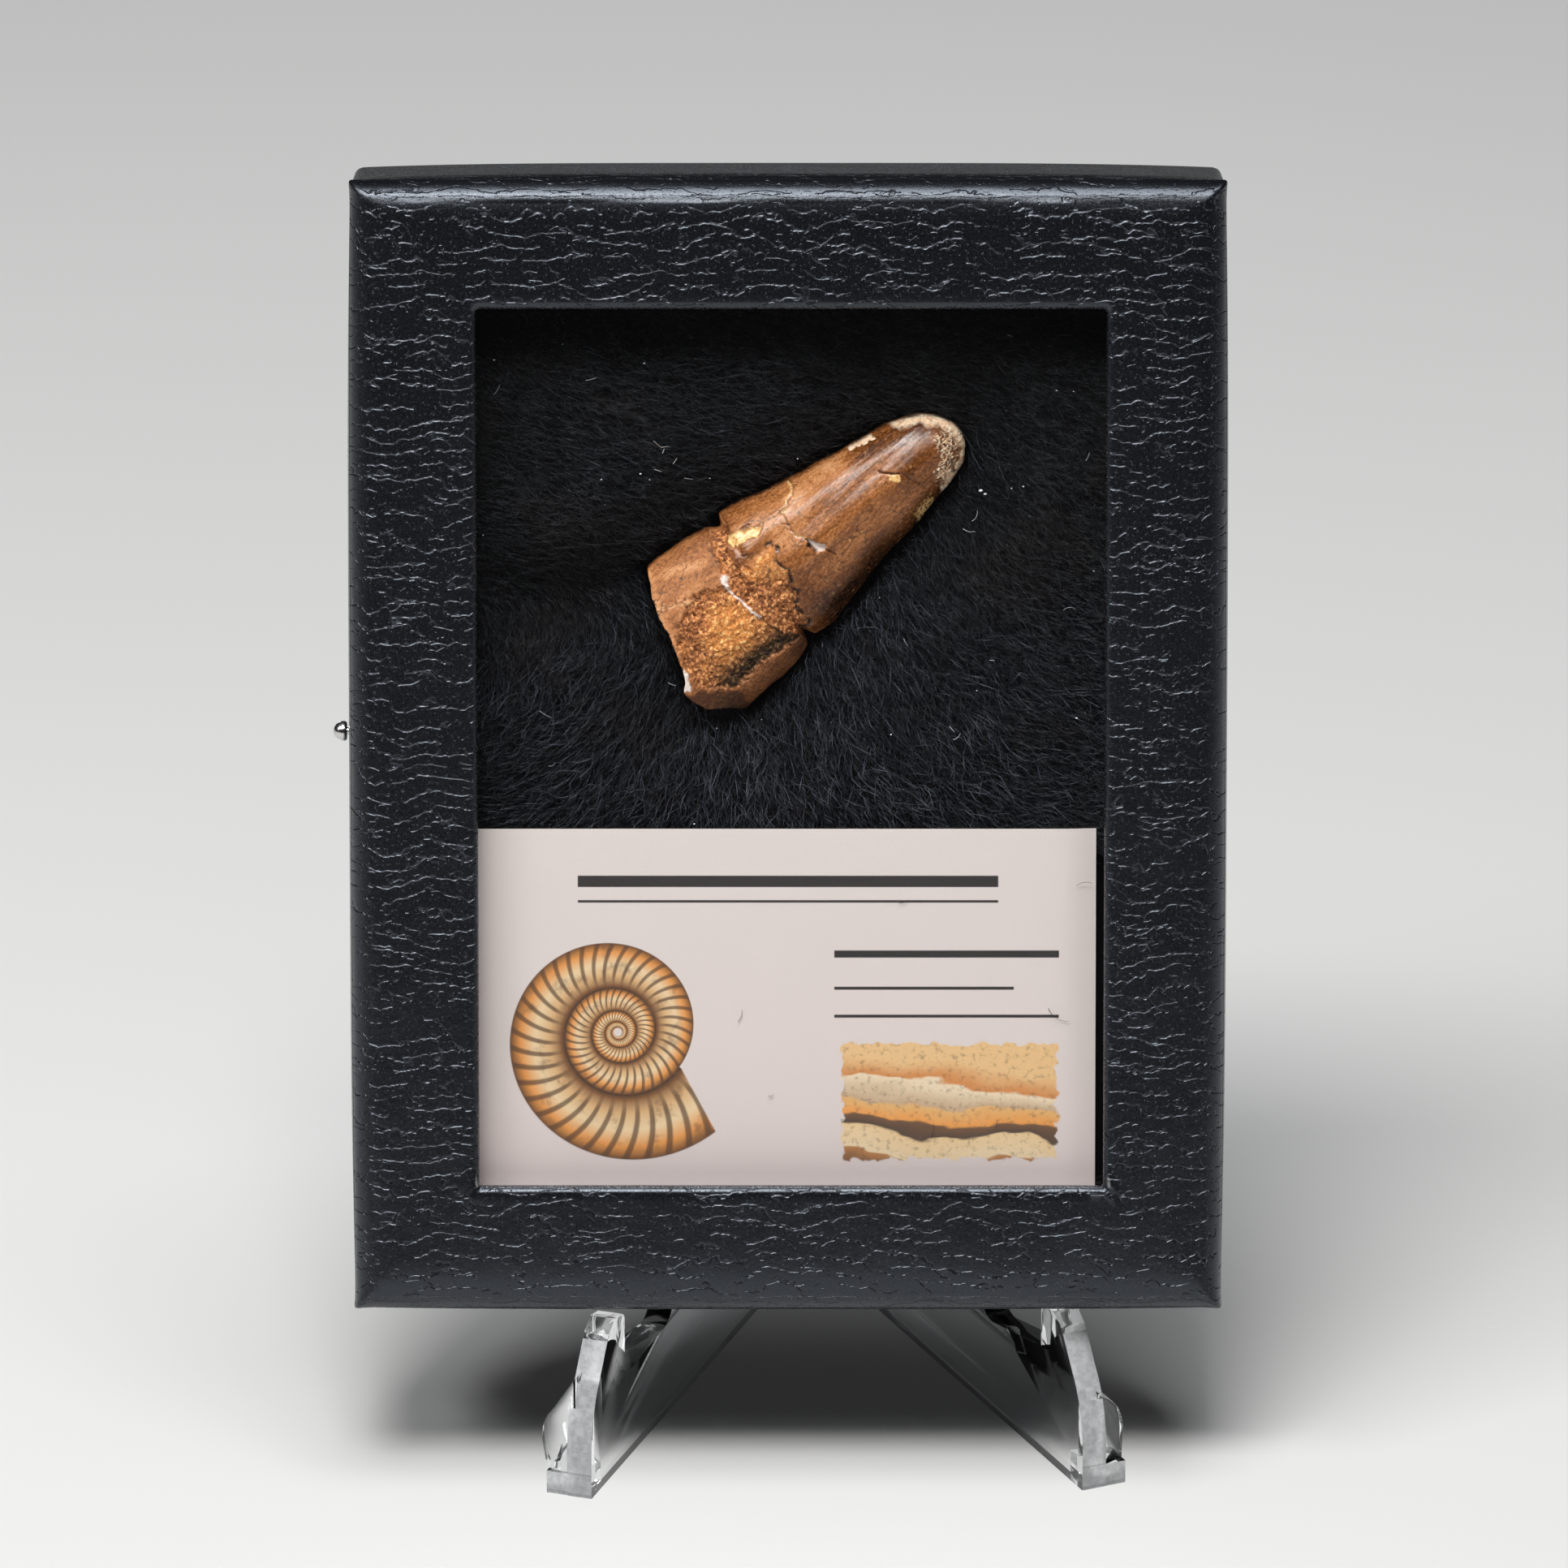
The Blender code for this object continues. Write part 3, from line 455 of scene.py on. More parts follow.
def creases(p, spot, across, along, slant, waves, present):
    """Long wavy lines: a soft lower lip and a steep upper one, here and there broken off."""
    wander = (p.noise(spot, waves, 1.0, 0.45) - 0.5) * 2.9
    scallop = p.maths("ABSOLUTE", p.noise(spot, 0.62, 1.0, 0.5) - 0.5) * -1.15
    x, y, _ = p.split(spot)
    level = y * across + x * slant + (wander + scallop)
    gap = p.maths("FRACT", level) - 0.5
    lip = p.step(gap, -0.1, 0.0) * p.step(gap, 0.0, 0.05, 1.0, 0.0)
    stretched = p.joined(x * along, p.maths("FLOOR", level) * 3.7)
    return lip * p.step(p.noise(stretched, 1.0, 3.0, 0.6), *present)


def leatherette():
    """Black wrap with long wavy creases across it and a fine grain."""
    p = Painter("leatherette")
    spot = p.stored("sheet", "Vector")
    main = creases(p, spot, 0.66, 0.2, 0.0, 0.17, (0.43, 0.47))
    second = creases(p, spot + (31.0, 17.0, 0.0), 0.45, 0.25, 0.13, 0.18, (0.51, 0.55))
    small = creases(p, spot + (7.0, 43.0, 0.0), 0.9, 0.7, -0.1, 0.3, (0.57, 0.62))
    crease = p.highest(main, second * 0.85, small * 0.55)
    grain = p.noise(spot, 4.6, 3.0, 0.7)
    specks = p.step(p.noise(spot, 2.7, 2.0, 0.6), 0.62, 0.69)
    height = grain * 0.17 + p.noise(spot, 0.5, 2.0) * 0.5 + specks * 0.4 - crease
    tone = p.blend(p.noise(spot, 0.12, 3.0), (0.0016, 0.0019, 0.003), (0.0034, 0.004, 0.0058))
    # Painted highlight: the creases are made paler and bluish, as where light catches them
    tone = p.blend(crease * 0.5, tone, (0.02, 0.022, 0.028))
    tone = p.blend(p.stored("fray"), tone, (0.3, 0.29, 0.28))
    return p.finish(Base_Color=tone, Roughness=p.step(grain, 0.35, 0.65, 0.22, 0.34),
                    Specular_IOR_Level=0.7, Specular_Tint=(0.8, 0.88, 1.0), Normal=p.bump(height, 0.068))


def tray_wrap():
    """Plain black wrap of the tray, finer and duller than the lid's."""
    p = Painter("tray wrap")
    spot = p.object_mm()
    grain = p.noise(spot, 2.2, 4.0, 0.65)
    height = grain * 0.6 + p.cells(spot, 1.5, "SMOOTH_F1") * -0.5
    tone = p.blend(p.noise(spot, 0.08, 3.0), (0.002, 0.0024, 0.0034), (0.005, 0.0056, 0.007))
    return p.finish(Base_Color=tone, Roughness=p.step(grain, 0.3, 0.7, 0.45, 0.6), Specular_IOR_Level=0.35,
                    Normal=p.bump(height, 0.08))


def window_glass():
    p = Painter("window glass")
    smear = p.noise(p.object_mm(), 0.09, 4.0, 0.7)
    p.finish(Base_Color=p.blend(smear, (0.965, 0.98, 0.975), (0.995, 1.0, 0.998)), Transmission_Weight=1.0,
             IOR=1.5, Roughness=0.0)
    return p.clear_in_shadow()


def acrylic(frosted):
    p = Painter("frosted acrylic" if frosted else "clear acrylic")
    spot = p.object_mm()
    scuffs = p.noise(spot * (0.3, 0.3, 1.4), 0.9, 4.0, 0.65)
    if frosted:
        x, _, z = p.split(spot)
        strokes = p.noise(p.joined((x + z) * 0.22, (x - z) * 1.6), 1.0, 2.0, 0.5)
        mottle = p.noise(spot, 1.3, 4.0, 0.65)
        tone = p.blend(p.step(mottle, 0.35, 0.65), (0.5, 0.51, 0.525), (0.7, 0.71, 0.72))
        tone = p.blend(p.step(strokes, 0.6, 0.7, 0.0, 0.45), tone, (0.2, 0.21, 0.225))
        saw = p.noise(spot * (2.0, 2.0, 9.0), 0.6, 3.0, 0.6)
        p.finish(Base_Color=tone, IOR=1.49, Roughness=p.step(scuffs, 0.3, 0.7, 0.36, 0.56),
                 Transmission_Weight=0.4, Normal=p.bump(saw, 0.03, 0.6))
    else:
        p.finish(Base_Color=(0.965, 0.98, 0.985), Transmission_Weight=1.0, IOR=1.49,
                 Roughness=p.step(scuffs, 0.48, 0.72, 0.01, 0.16))
    return p.clear_in_shadow()


def pin_steel():
    p = Painter("pin steel")
    brushed = p.noise(p.object_mm() * (9.0, 9.0, 1.2), 1.0, 3.0, 0.6)
    return p.finish(Base_Color=p.blend(brushed, (0.5, 0.49, 0.48), (0.72, 0.71, 0.7)), Metallic=1.0,
                    Roughness=p.step(brushed, 0.3, 0.7, 0.16, 0.3), Normal=p.bump(brushed, 0.01, 0.3))


def fossil():
    """Brown enamel that darkens to the tip, over ochre and rust where it has broken away."""
    p = Painter("fossil")
    spot = p.object_mm()
    streaks = p.noise(spot * (0.14, 1.0, 1.5), 1.0, 4.0, 0.6)
    fine = p.noise(spot * (2.2, 4.0, 5.2), 1.0, 4.0, 0.7)
    clouds = p.noise(spot, 0.3, 4.0, 0.62)
    speckle = p.noise(spot, 3.4, 4.0, 0.72)
    bent = spot + p.noise(spot, 1.6, 2.0, 0.5, "Color") * (0.9, 0.9, 0.9)
    crumb = p.step(p.cells(bent, 2.3), 0.12, 0.52, 1.0, 0.0)
    mixed = speckle * 0.62 + crumb * 0.22
    # The stored tone holds painted light on the upper flank and painted shade on the lower one
    shade = p.stored("tone")
    for pattern, share in ((streaks, 0.45), (fine, 0.55), (speckle, 0.55), (clouds, 0.55)):
        shade += (pattern - 0.5) * share
    colour = p.ramp(shade, [(0.05, (0.02, 0.006, 0.001)), (0.3, (0.095, 0.028, 0.005)),
                            (0.5, (0.235, 0.078, 0.02)), (0.7, (0.46, 0.18, 0.06)),
                            (0.95, (0.7, 0.36, 0.17))])
    colour = p.blend(p.step(speckle, 0.58, 0.68, 0.0, 0.38), colour, (0.66, 0.36, 0.16))
    colour = p.blend(p.step(speckle, 0.42, 0.33, 0.0, 0.75), colour, (0.045, 0.017, 0.005))
    rust = p.ramp(mixed + clouds * 0.16, [(0.29, (0.045, 0.015, 0.005)), (0.38, (0.24, 0.078, 0.022)),
                                          (0.475, (0.58, 0.215, 0.068)), (0.63, (0.9, 0.47, 0.19))])
    sand = p.ramp(mixed, [(0.2, (0.16, 0.052, 0.012)), (0.28, (0.54, 0.19, 0.042)),
                          (0.38, (0.8, 0.32, 0.082)), (0.54, (1.0, 0.66, 0.27))])
    moss = p.blend(p.step(mixed, 0.3, 0.52), (0.004, 0.002, 0.0005), (0.15, 0.08, 0.022))
    ochre = p.blend(p.step(speckle, 0.35, 0.6), (0.62, 0.3, 0.085), (0.97, 0.66, 0.29))
    cream = p.ramp(mixed, [(0.2, (0.82, 0.4, 0.19)), (0.29, (1.0, 0.67, 0.42)), (0.42, (1.0, 0.83, 0.62))])
    for mask, paint in (("rust", rust), ("orange", sand), ("olive", moss), ("ochre", ochre),
                        ("cream", cream)):
        colour = p.blend(p.stored(mask), colour, paint)
    grain = p.stored("grain")
    edge = p.cells(bent * (0.32, 0.7, 0.7), 1.0, "DISTANCE_TO_EDGE")
    scored = p.step(edge, 0.0, 0.045, 0.75, 0.0) * p.step(clouds, 0.47, 0.56)
    colour = p.blend(scored * (1.0 - grain), colour, (0.045, 0.018, 0.007))
    # Cracks, and the painted shadow at the hole's near edge, in near-black
    colour = p.blend(p.stored("crack_and_hole_shadow"), colour, (0.02, 0.009, 0.004))
    colour = p.blend(p.stored("white"), colour, p.blend(fine, (0.8, 0.62, 0.52), (0.98, 0.92, 0.88)))
    dull = p.highest(grain, p.stored("cream"), p.stored("orange"), p.stored("matte"))
    height = fine * 0.16 + streaks * 0.2 + (speckle * 0.85 + crumb * 0.3) * dull
    return p.finish(Base_Color=colour, Roughness=p.step(dull + fine * 0.3, 0.0, 1.0, 0.23, 0.8),
                    Specular_IOR_Level=0.4, Normal=p.bump(height, 0.1))


def mottled(name, scale, detail, dark, light, **finish):
    """A plain material that drifts between two tones."""
    p = Painter(name)
    return p.finish(Base_Color=p.blend(p.noise(p.object_mm(), scale, detail), dark, light), **finish)


def pile_hair():
    """Black fibre with a blue-grey shine; each hair keeps its own depth of tone, and the palest hairs carry
    painted blue-grey glints.
    """
    p = Painter("pile hair")
    # The top of the ramp paints blue-grey glints on the palest hairs
    tone = p.ramp(p.stored("tint"), [(0.0, (0.0006, 0.0007, 0.0012)), (0.6, (0.0021, 0.0024, 0.0036)),
                                     (0.82, (0.0125, 0.014, 0.0188)), (1.0, (0.066, 0.074, 0.097))])
    warm = p.step(p.noise(p.object_mm(), 0.12, 2.0), 0.5, 0.7, 0.0, 0.4)
    return p.finish(Base_Color=p.blend(warm, tone, (0.01, 0.006, 0.006)), Roughness=0.36,
                    Specular_IOR_Level=0.38, Specular_Tint=(0.88, 0.93, 1.0))


def lint():
    p = Painter("lint")
    tone = p.blend(p.stored("tint"), (0.14, 0.15, 0.17), (0.8, 0.82, 0.86))
    tone = p.blend(p.step(p.noise(p.object_mm(), 0.06, 1.0), 0.5, 0.7, 0.0, 0.35), tone, (0.75, 0.58, 0.35))
    return p.finish(Base_Color=tone, Roughness=0.6)


# Printed card: an ammonite, rules and a strip of strata. Outlines are (left, right, low, high)

SHELL_CENTRE = (-16.2, 26.4)
SHELL_WHORL_GAIN = 2.05
SHELL_SEED_RADIUS = 0.55
SHELL_TURN = math.radians(150.0)
SHELL_TURNS = 4.0
SHELL_RIBS = 38.0
STRATA = (5.2, 25.6, 14.2, 25.3)
PRINTED_RULES = [(-20.0, 20.0, 40.4, 41.5), (-20.0, 20.0, 38.9, 39.15), (4.4, 25.8, 33.6, 34.3),
                 (4.4, 21.5, 30.5, 30.8), (4.4, 25.8, 27.8, 28.1)]
PRINT_SCREEN = 0.36


def shell_print(p, x, z, paper):
    """An ammonite in ochre, orange and brown, drawn from a growing spiral."""
    dx, dz = x - SHELL_CENTRE[0], z - SHELL_CENTRE[1]
    radius = p.maths("SQRT", dx * dx + dz * dz)
    c, s = math.cos(SHELL_TURN), math.sin(SHELL_TURN)
    turned_x, turned_z = dx * c + dz * s, dz * c - dx * s
    angle = p.maths("ARCTAN2", turned_z, turned_x) / math.tau
    turns = p.maths("LOGARITHM", radius / SHELL_SEED_RADIUS, SHELL_WHORL_GAIN) - angle
    across = p.maths("FRACT", turns)
    spin = (turns - across + angle) * SHELL_RIBS
    rib = p.maths("SINE", (spin + across * across * 1.3) * math.tau)
    rib_dark = p.step(rib, 0.1, 0.9) * p.step(across, 0.1, 0.4, 0.25, 0.8)
    mottle = p.noise(p.joined(x, z), 0.5, 4.0, 0.65)
    body = p.ramp(across, [(0.0, (0.03, 0.016, 0.01)), (0.1, (0.2, 0.085, 0.03)),
                           (0.36, (0.66, 0.4, 0.19)), (0.62, (0.8, 0.6, 0.36)),
                           (0.84, (0.74, 0.3, 0.075)), (1.0, (0.06, 0.026, 0.012))])
    body = p.blend(p.step(mottle, 0.5, 0.72, 0.0, 0.6), body, (0.16, 0.075, 0.034))
    body = p.blend(rib_dark, body, (0.085, 0.04, 0.02))
    inside = p.step(turns, SHELL_TURNS - 0.02, SHELL_TURNS, 1.0, 0.0) * p.step(radius, 0.3, 0.5)
    past_mouth = p.step(turned_x * 0.62 + turned_z, -4.4, -4.2, 1.0, 0.0) * p.step(turned_z, -0.2, 0.0)
    return p.blend(inside * (1.0 - past_mouth * p.step(radius, 6.8, 7.1)), paper, body)


def bar(p, x, z, low_x, high_x, low_z, high_z, soft=0.05):
    """1 inside a printed rectangle, 0 outside."""
    wide = p.step(x, low_x - soft, low_x + soft) * p.step(x, high_x - soft, high_x + soft, 1.0, 0.0)
    tall = p.step(z, low_z - soft, low_z + soft) * p.step(z, high_z - soft, high_z + soft, 1.0, 0.0)
    return wide * tall


def printed_card():
    p = Painter("printed card")
    x, _, z = p.split(p.object_mm())
    flat = p.joined(x, z)
    colour = p.ramp(z / 50.0, [(0.14, (0.7, 0.595, 0.585)), (0.5, (0.7, 0.615, 0.585)),
                               (0.92, (0.7, 0.625, 0.6))])
    left, right, low, high = STRATA
    slope = z + (p.noise(p.joined(x * 0.5, z), 0.22, 3.0) * 5.0 + x * 0.09)
    beds = p.ramp((slope - (low + 2.0)) / (high - low), [
        (0.0, (0.11, 0.055, 0.03)), (0.16, (0.45, 0.2, 0.07)), (0.18, (0.8, 0.62, 0.4)),
        (0.34, (0.78, 0.55, 0.3)), (0.36, (0.07, 0.045, 0.032)), (0.46, (0.16, 0.08, 0.04)),
        (0.48, (0.8, 0.33, 0.08)), (0.62, (0.74, 0.42, 0.16)), (0.64, (0.55, 0.38, 0.24)),
        (0.8, (0.82, 0.66, 0.46)), (0.82, (0.62, 0.24, 0.07)), (1.0, (0.78, 0.5, 0.24))])
    beds = p.blend(p.step(p.noise(flat, 1.6, 3.0, 0.7), 0.5, 0.7, 0.0, 0.45), beds, (0.12, 0.07, 0.045))
    ragged = (p.noise(flat, 0.9, 3.0) - 0.5) * 1.6
    colour = p.blend(bar(p, x + ragged, z + ragged, left, right, low, high, 0.12), colour, beds)
    colour = shell_print(p, x, z, colour)
    for rule in PRINTED_RULES:
        colour = p.blend(bar(p, x, z, *rule), colour, (0.018, 0.016, 0.017))
    turn = math.tau / PRINT_SCREEN
    screen = p.maths("SINE", (x + z) * turn) * p.maths("SINE", (x - z) * turn)
    colour = p.blend(p.step(screen, -0.4, 0.9, 0.0, 0.1), colour, (0.35, 0.27, 0.26))
    fibre = p.noise(flat, 3.0, 3.0, 0.6)
    return p.finish(Base_Color=colour, Roughness=0.55, Specular_IOR_Level=0.35,
                    Normal=p.bump(fibre, 0.012, 0.5))


# Tooth. The broken end sinks inwards: share of the ring's size, depth

ROOT_HOLLOW = [(0.9, 0.15), (0.72, 0.45), (0.5, 0.75), (0.25, 0.95)]
BACK_FRACTURE_U = 7.8
OLIVE_REACH = 3.3
PLAIN_TONE = 0.55
BROKEN_SHARE = 0.75


def tooth_wear(u, v):
    """Masks and relief of the front of the crown. Relief is in millimetres, worn in below 0."""
    grain = Grain(11)

    def fine_grain(scale, layer):
        return grain.at(u * scale, v * scale, layer)

    def rough_grain(scale, layer):
        return grain.rough(u * scale, v * scale, layer)

    spots = np.column_stack((u, v))
    wobble = np.column_stack((rough_grain(1.1, 1.0), rough_grain(1.1, 7.0)))
    fuzz, crumbs = rough_grain(3.0, 2.0), rough_grain(4.5, 14.0)
    jagged = spots + 0.22 * wobble

    def area(outline, soft=0.12, fray=0.15):
        return rise(-soft, soft, inside_depth(jagged, outline) + fray * fuzz)

    def seam(line, half_width, swing=0.22):
        near = line_distance(spots + swing * wobble, line)
        return fall(0.35 * half_width, half_width, near)

    def stretch(start, full, fading, gone):
        return rise(start, full, u) * fall(fading, gone, u)

    low = area(GRANULAR_LOW, 0.25, 0.35)
    high = area(GRANULAR_HIGH, 0.2, 0.3)
    granular = np.maximum(low, high)
    orange = area(ORANGE_AREA)
    band = seam(FRACTURE, 1.15, 0.6)
    lumps = area(LUMPS, 0.3, 0.3)
    hole = area(HOLE, 0.07, 0.04)
    patch = area(OCHRE_PATCH, 0.08)
    chip = area(PALE_CHIP, 0.08)
    blob = area(WHITE_BLOB, 0.1)
    rim = seam(TIP_RIM, 1.1, 0.4) * rise(-1.1, -0.3, crumbs + 0.2)
    tip = rise(30.2, 31.0, u + 0.3 * crumbs + 0.12 * v) * rise(-0.9, -0.2, crumbs)
    flakes = area(TIP_FLAKES, 0.35, 0.5) * rise(-0.25, 0.25, crumbs + 0.4 * fine_grain(1.5, 4.0))
    crust = np.maximum(np.maximum(rim, tip), 0.85 * flakes)
    cream = np.clip(np.maximum(1.3 * crust, chip), 0.0, 1.0)
    patches = rise(-0.25, 0.45, rough_grain(0.8, 6.0))
    centre = hump(u, YELLOW_CENTRE[0], 2.7, v, YELLOW_CENTRE[1], 2.8)
    yellow = np.clip(1.25 * centre + 0.45 * (patches - 0.3), 0.0, 1.0)
    sand = np.maximum(orange * (0.33 + 0.5 * patches), low * (1.0 - lumps) * yellow)
    speck_distance = np.min([np.hypot(u - speck_u, v - speck_v) for speck_u, speck_v in SPECKS], axis=0)
    broken = rise(-0.25, 0.15, fine_grain(1.3, 13.0))
    ochre = np.maximum.reduce([
        patch, area(OCHRE_PIT, 0.06, 0.05), area(OCHRE_EDGE, 0.12, 0.4) * rise(-0.5, 0.1, crumbs),
        0.8 * seam(SIDE_CRACK_RIM, 0.15, 0.3), 0.7 - 0.7 * rise(0.04, 0.11, speck_distance),
        0.8 * seam(HOLE_RIM, 0.13)])
    white = np.maximum.reduce([blob, seam(WHITE_CRACK, 0.14, 0.15), area(WHITE_EDGE, 0.1),
                               hole * rise(13.72, 14.0, u)])
    cracks_and_hole_shadow = np.maximum.reduce([
        0.7 * seam(GLUE_CRACK, 0.09, 0.1), seam(DARK_CRACK, 0.17, 0.35) * (0.25 + 0.75 * broken),
        0.9 * seam(ORANGE_CRACK, 0.12, 0.3) * broken, 0.7 * seam(SIDE_CRACK, 0.075, 0.2),
        0.8 * seam(HOLE_TAIL, 0.08, 0.08), 0.9 * seam(PIT_CRACK, 0.1, 0.1), 0.7 * seam(HAIRLINE, 0.06, 0.05),
        # the hole's near edge is painted near-black: a painted shadow
        0.8 * seam(PATCH_CRACK, 0.1, 0.2) * broken, hole * fall(13.66, 13.9, u)])
    olive = fall(0.0, OLIVE_REACH, line_distance(jagged, OLIVE_BAND)) * rise(-1.6, 0.2, crumbs + 0.3)
    tone = 0.47 + 0.1 * rise(7.0, 5.0, u)
    tone += 0.11 * hump(v, 0.2, 2.0) * stretch(10.5, 16.5, 22.5, 26.5)
    # Paler patch beside the ridge at u 12: partly paler enamel, partly a painted highlight of the ridge's
    # gloss
    tone += 0.27 * hump(v, 3.9, 1.7, u, 12.3, 2.8)
    # Painted light: the upper flank is made paler from u 7 to 28, as if lit more strongly
    tone += 0.11 * rise(4.2, 6.2, v) * stretch(7.0, 9.0, 24.0, 28.0)
    # Painted shade: darker along the lower flank, which turns away from the light
    tone -= 0.31 * rise(-1.6, -4.4, v) * rise(8.5, 11.0, u)
    tone -= 0.1 * rise(-3.8, -5.4, v) * fall(6.8, 8.0, u)
    tone -= 0.29 * area(BOTTOM_FACET, 0.3, 0.2)
    tone += 0.16 * np.maximum(seam(PALE_STREAKS[0], 0.3, 0.15), seam(PALE_STREAKS[1], 0.6, 0.3))
    tone += 0.22 * hump(v, 4.9, 1.6, u, 2.6, 2.6)
    # More painted light on the upper flank from u 13 to 23
    tone += 0.23 * hump(v, 5.6, 1.4) * stretch(13.0, 16.0, 20.0, 23.0)
    tone -= 0.06 * rise(24.5, 28.0, u) + 0.14 * area(DARK_GLOSS, 0.6, 0.3)
    tone += 0.18 * rise(1.2, 0.0, u - smooth_table(ROOT_EDGE, v)) * rise(-2.0, 0.0, v)
    grains = 0.24 * fine_grain(0.9, 5.0) + 0.22 * fine_grain(2.4, 5.0)
    fines = 0.13 * fine_grain(4.4, 8.0)
    rugged = np.clip(granular + 0.8 * band, 0.0, 1.0)
    relief = rugged * (grains + fines) * (1.0 - 0.4 * centre * low) - 0.42 * granular - 0.5 * band
    relief -= 0.22 * orange * (1.0 - granular)
    relief += 1.2 * lumps * (fines + 0.4 * grains) - 0.16 * patch - 0.45 * hole - 0.14 * chip
    relief += -0.22 * cracks_and_hole_shadow + 0.1 * blob + 0.12 * cream * fuzz - 0.05 * seam(WHITE_CRACK, 0.2, 0.15)
    masks = {"tone": np.clip(tone, 0.0, 1.0), "matte": 0.5 * rise(9.0, 6.5, u),
             "rust": np.maximum(band, granular), "orange": sand, "grain": rugged, "cream": cream,
             "ochre": ochre, "olive": np.clip(1.15 * olive, 0.0, 0.95) * low, "crack_and_hole_shadow": cracks_and_hole_shadow,
             "white": white}
    return masks, relief


def make_tooth():
    """Rings from the broken root to the tip, finest on the side that shows."""
    stations, front_steps, back_steps = 330, 190, 56
    angles = np.concatenate((np.linspace(0.0, math.pi, front_steps, endpoint=False),
                             np.linspace(math.pi, math.tau, back_steps, endpoint=False)))
    ring = len(angles)
    t = 0.995 * (1.0 - (1.0 - np.arange(stations + 1) / stations) ** 1.25)
    across, deep = np.cos(angles), -np.sin(angles)
    grain = Grain(12)
    root_low, root_high = ROOT_EDGE[0][0], ROOT_EDGE[-1][0]
    root_v = (root_high + root_low) / 2 + across * (root_high - root_low) / 2
    root_u = smooth_table(ROOT_EDGE, root_v) + 0.13 * grain.rough(root_v * 1.1, 0.0, 9.0)
    tip_u = HALF_DEPTH[-1][0]
    u = (root_u + (tip_u - root_u) * t[:, None]).ravel()
    across, deep = np.tile(across, len(t)), np.tile(deep, len(t))
    high, low = smooth_table(UPPER_SIDE, u), smooth_table(LOWER_SIDE, u)
    half_width, half_depth = (high - low) / 2, smooth_table(HALF_DEPTH, u)
    v = (high + low) / 2 + across * half_width
    depth = np.copysign(np.abs(deep) ** 0.9, deep) * half_depth
    masks, relief = tooth_wear(u, v)
    shown = rise(0.02, 0.3, -deep)

    def wave(along, over, layer):
        return grain.at(u * along, v * over, layer)

    ripple = 0.05 * wave(0.2, 1.1, 3.0) + 0.012 * wave(0.5, 4.0, 3.0)
    crest = 0.35 * hump(v - 1.9 + 0.04 * u, 0.0, 1.3) * rise(6.0, 14.0, u)
    crest += 0.07 * hump(v, smooth_table(RIDGE_LINE, u), 0.9) * rise(9.0, 14.0, u)
    fracture = np.abs(u - BACK_FRACTURE_U - 0.35 * wave(0.45, 0.45, 20.0))
    behind = 0.12 * grain.rough(u * 0.5, v * 0.5, 20.0)
    behind -= 0.33 * fall(0.25, 1.1, fracture)
    raised = ripple + shown * (crest + relief) + (1.0 - shown) * behind
    facing = unit(np.column_stack((half_depth * across, half_width * deep)))
    verts = np.column_stack((u, depth + raised * facing[:, 1], v + raised * facing[:, 0]))
    root = verts[:ring]
    middle = root.mean(axis=0)
    hubs = (middle + (1.1, 0.0, 0.0), verts[-ring:].mean(axis=0) + (0.25, 0.0, 0.0))
    loops = []
    for share, hollow in ROOT_HOLLOW:
        loop = middle + (root - middle) * share
        loop[:, 0] += hollow + 0.35 * grain.rough(*(loop * 0.9).T)
        loops.insert(0, loop)
    rows = len(loops) + len(t)
    k = np.arange(ring)
    after, last, hub = np.roll(k, -1), (rows - 1) * ring, np.full(ring, rows * ring)
    caps = [np.column_stack((k, after, hub)), np.column_stack((last + after, last + k, hub + 1))]
    mesh = mesh_from_arrays("fossil tooth", np.vstack((*loops, verts, *hubs)) * MM,
                            [grid_faces(rows, ring, closed_columns=True), *caps])
    face_outwards(mesh)
    for name, values in masks.items():
        rest = PLAIN_TONE if name == "tone" else 0.0
        start = BROKEN_SHARE if name in ("rust", "grain") else rest
        side = values * shown + rest * (1.0 - shown)
        keep(mesh, name, np.concatenate((np.full(len(loops) * ring, start), side, [start, side[-1]])))
    add_piece("fossil_tooth_crown", mesh, fossil(), ["fossil_tooth"], BOX_PLACE @ TOOTH_PLACE)


# Pile lining

PILE_THICKNESS = 1.7
PILE_REST_DEPTH = 5.35
TOOTH_DIP, TOOTH_DIP_REACH = 2.6, 6.0
VALLEY_DEPTH = 2.2
PILE_WAVE = 0.35
HAIR_X, HAIR_Z = (-35.0, 35.0), (43.6, 99.5)
HAIR_LIMIT_X, HAIR_LIMIT_Z = 37.5, 104.0
CARD_COVER = 30.0
TIP_U = 31.2
# The way in which the pile is combed: x, z, degrees
HAIR_FLOW = [
    (-26, 93, -28), (-10, 92, -8), (8, 92, -6), (25, 92, -12), (-26, 80, -18), (-10, 80, -10),
    (24, 80, -30), (17, 72, -55), (27, 68, -22), (-27, 73, -8), (-15, 71, -25), (-26, 62, -97),
    (-17, 60, 218), (-13, 55, 240), (-22, 54, 205), (-26, 49, 190), (-8, 51, 262), (0, 53, 285),
    (8, 60, 285), (14, 56, 305), (18, 63, 312), (26, 56, 345), (26, 48, 350), (12, 48, 320), (0, 47, 290),
    (-14, 47, 225),
]
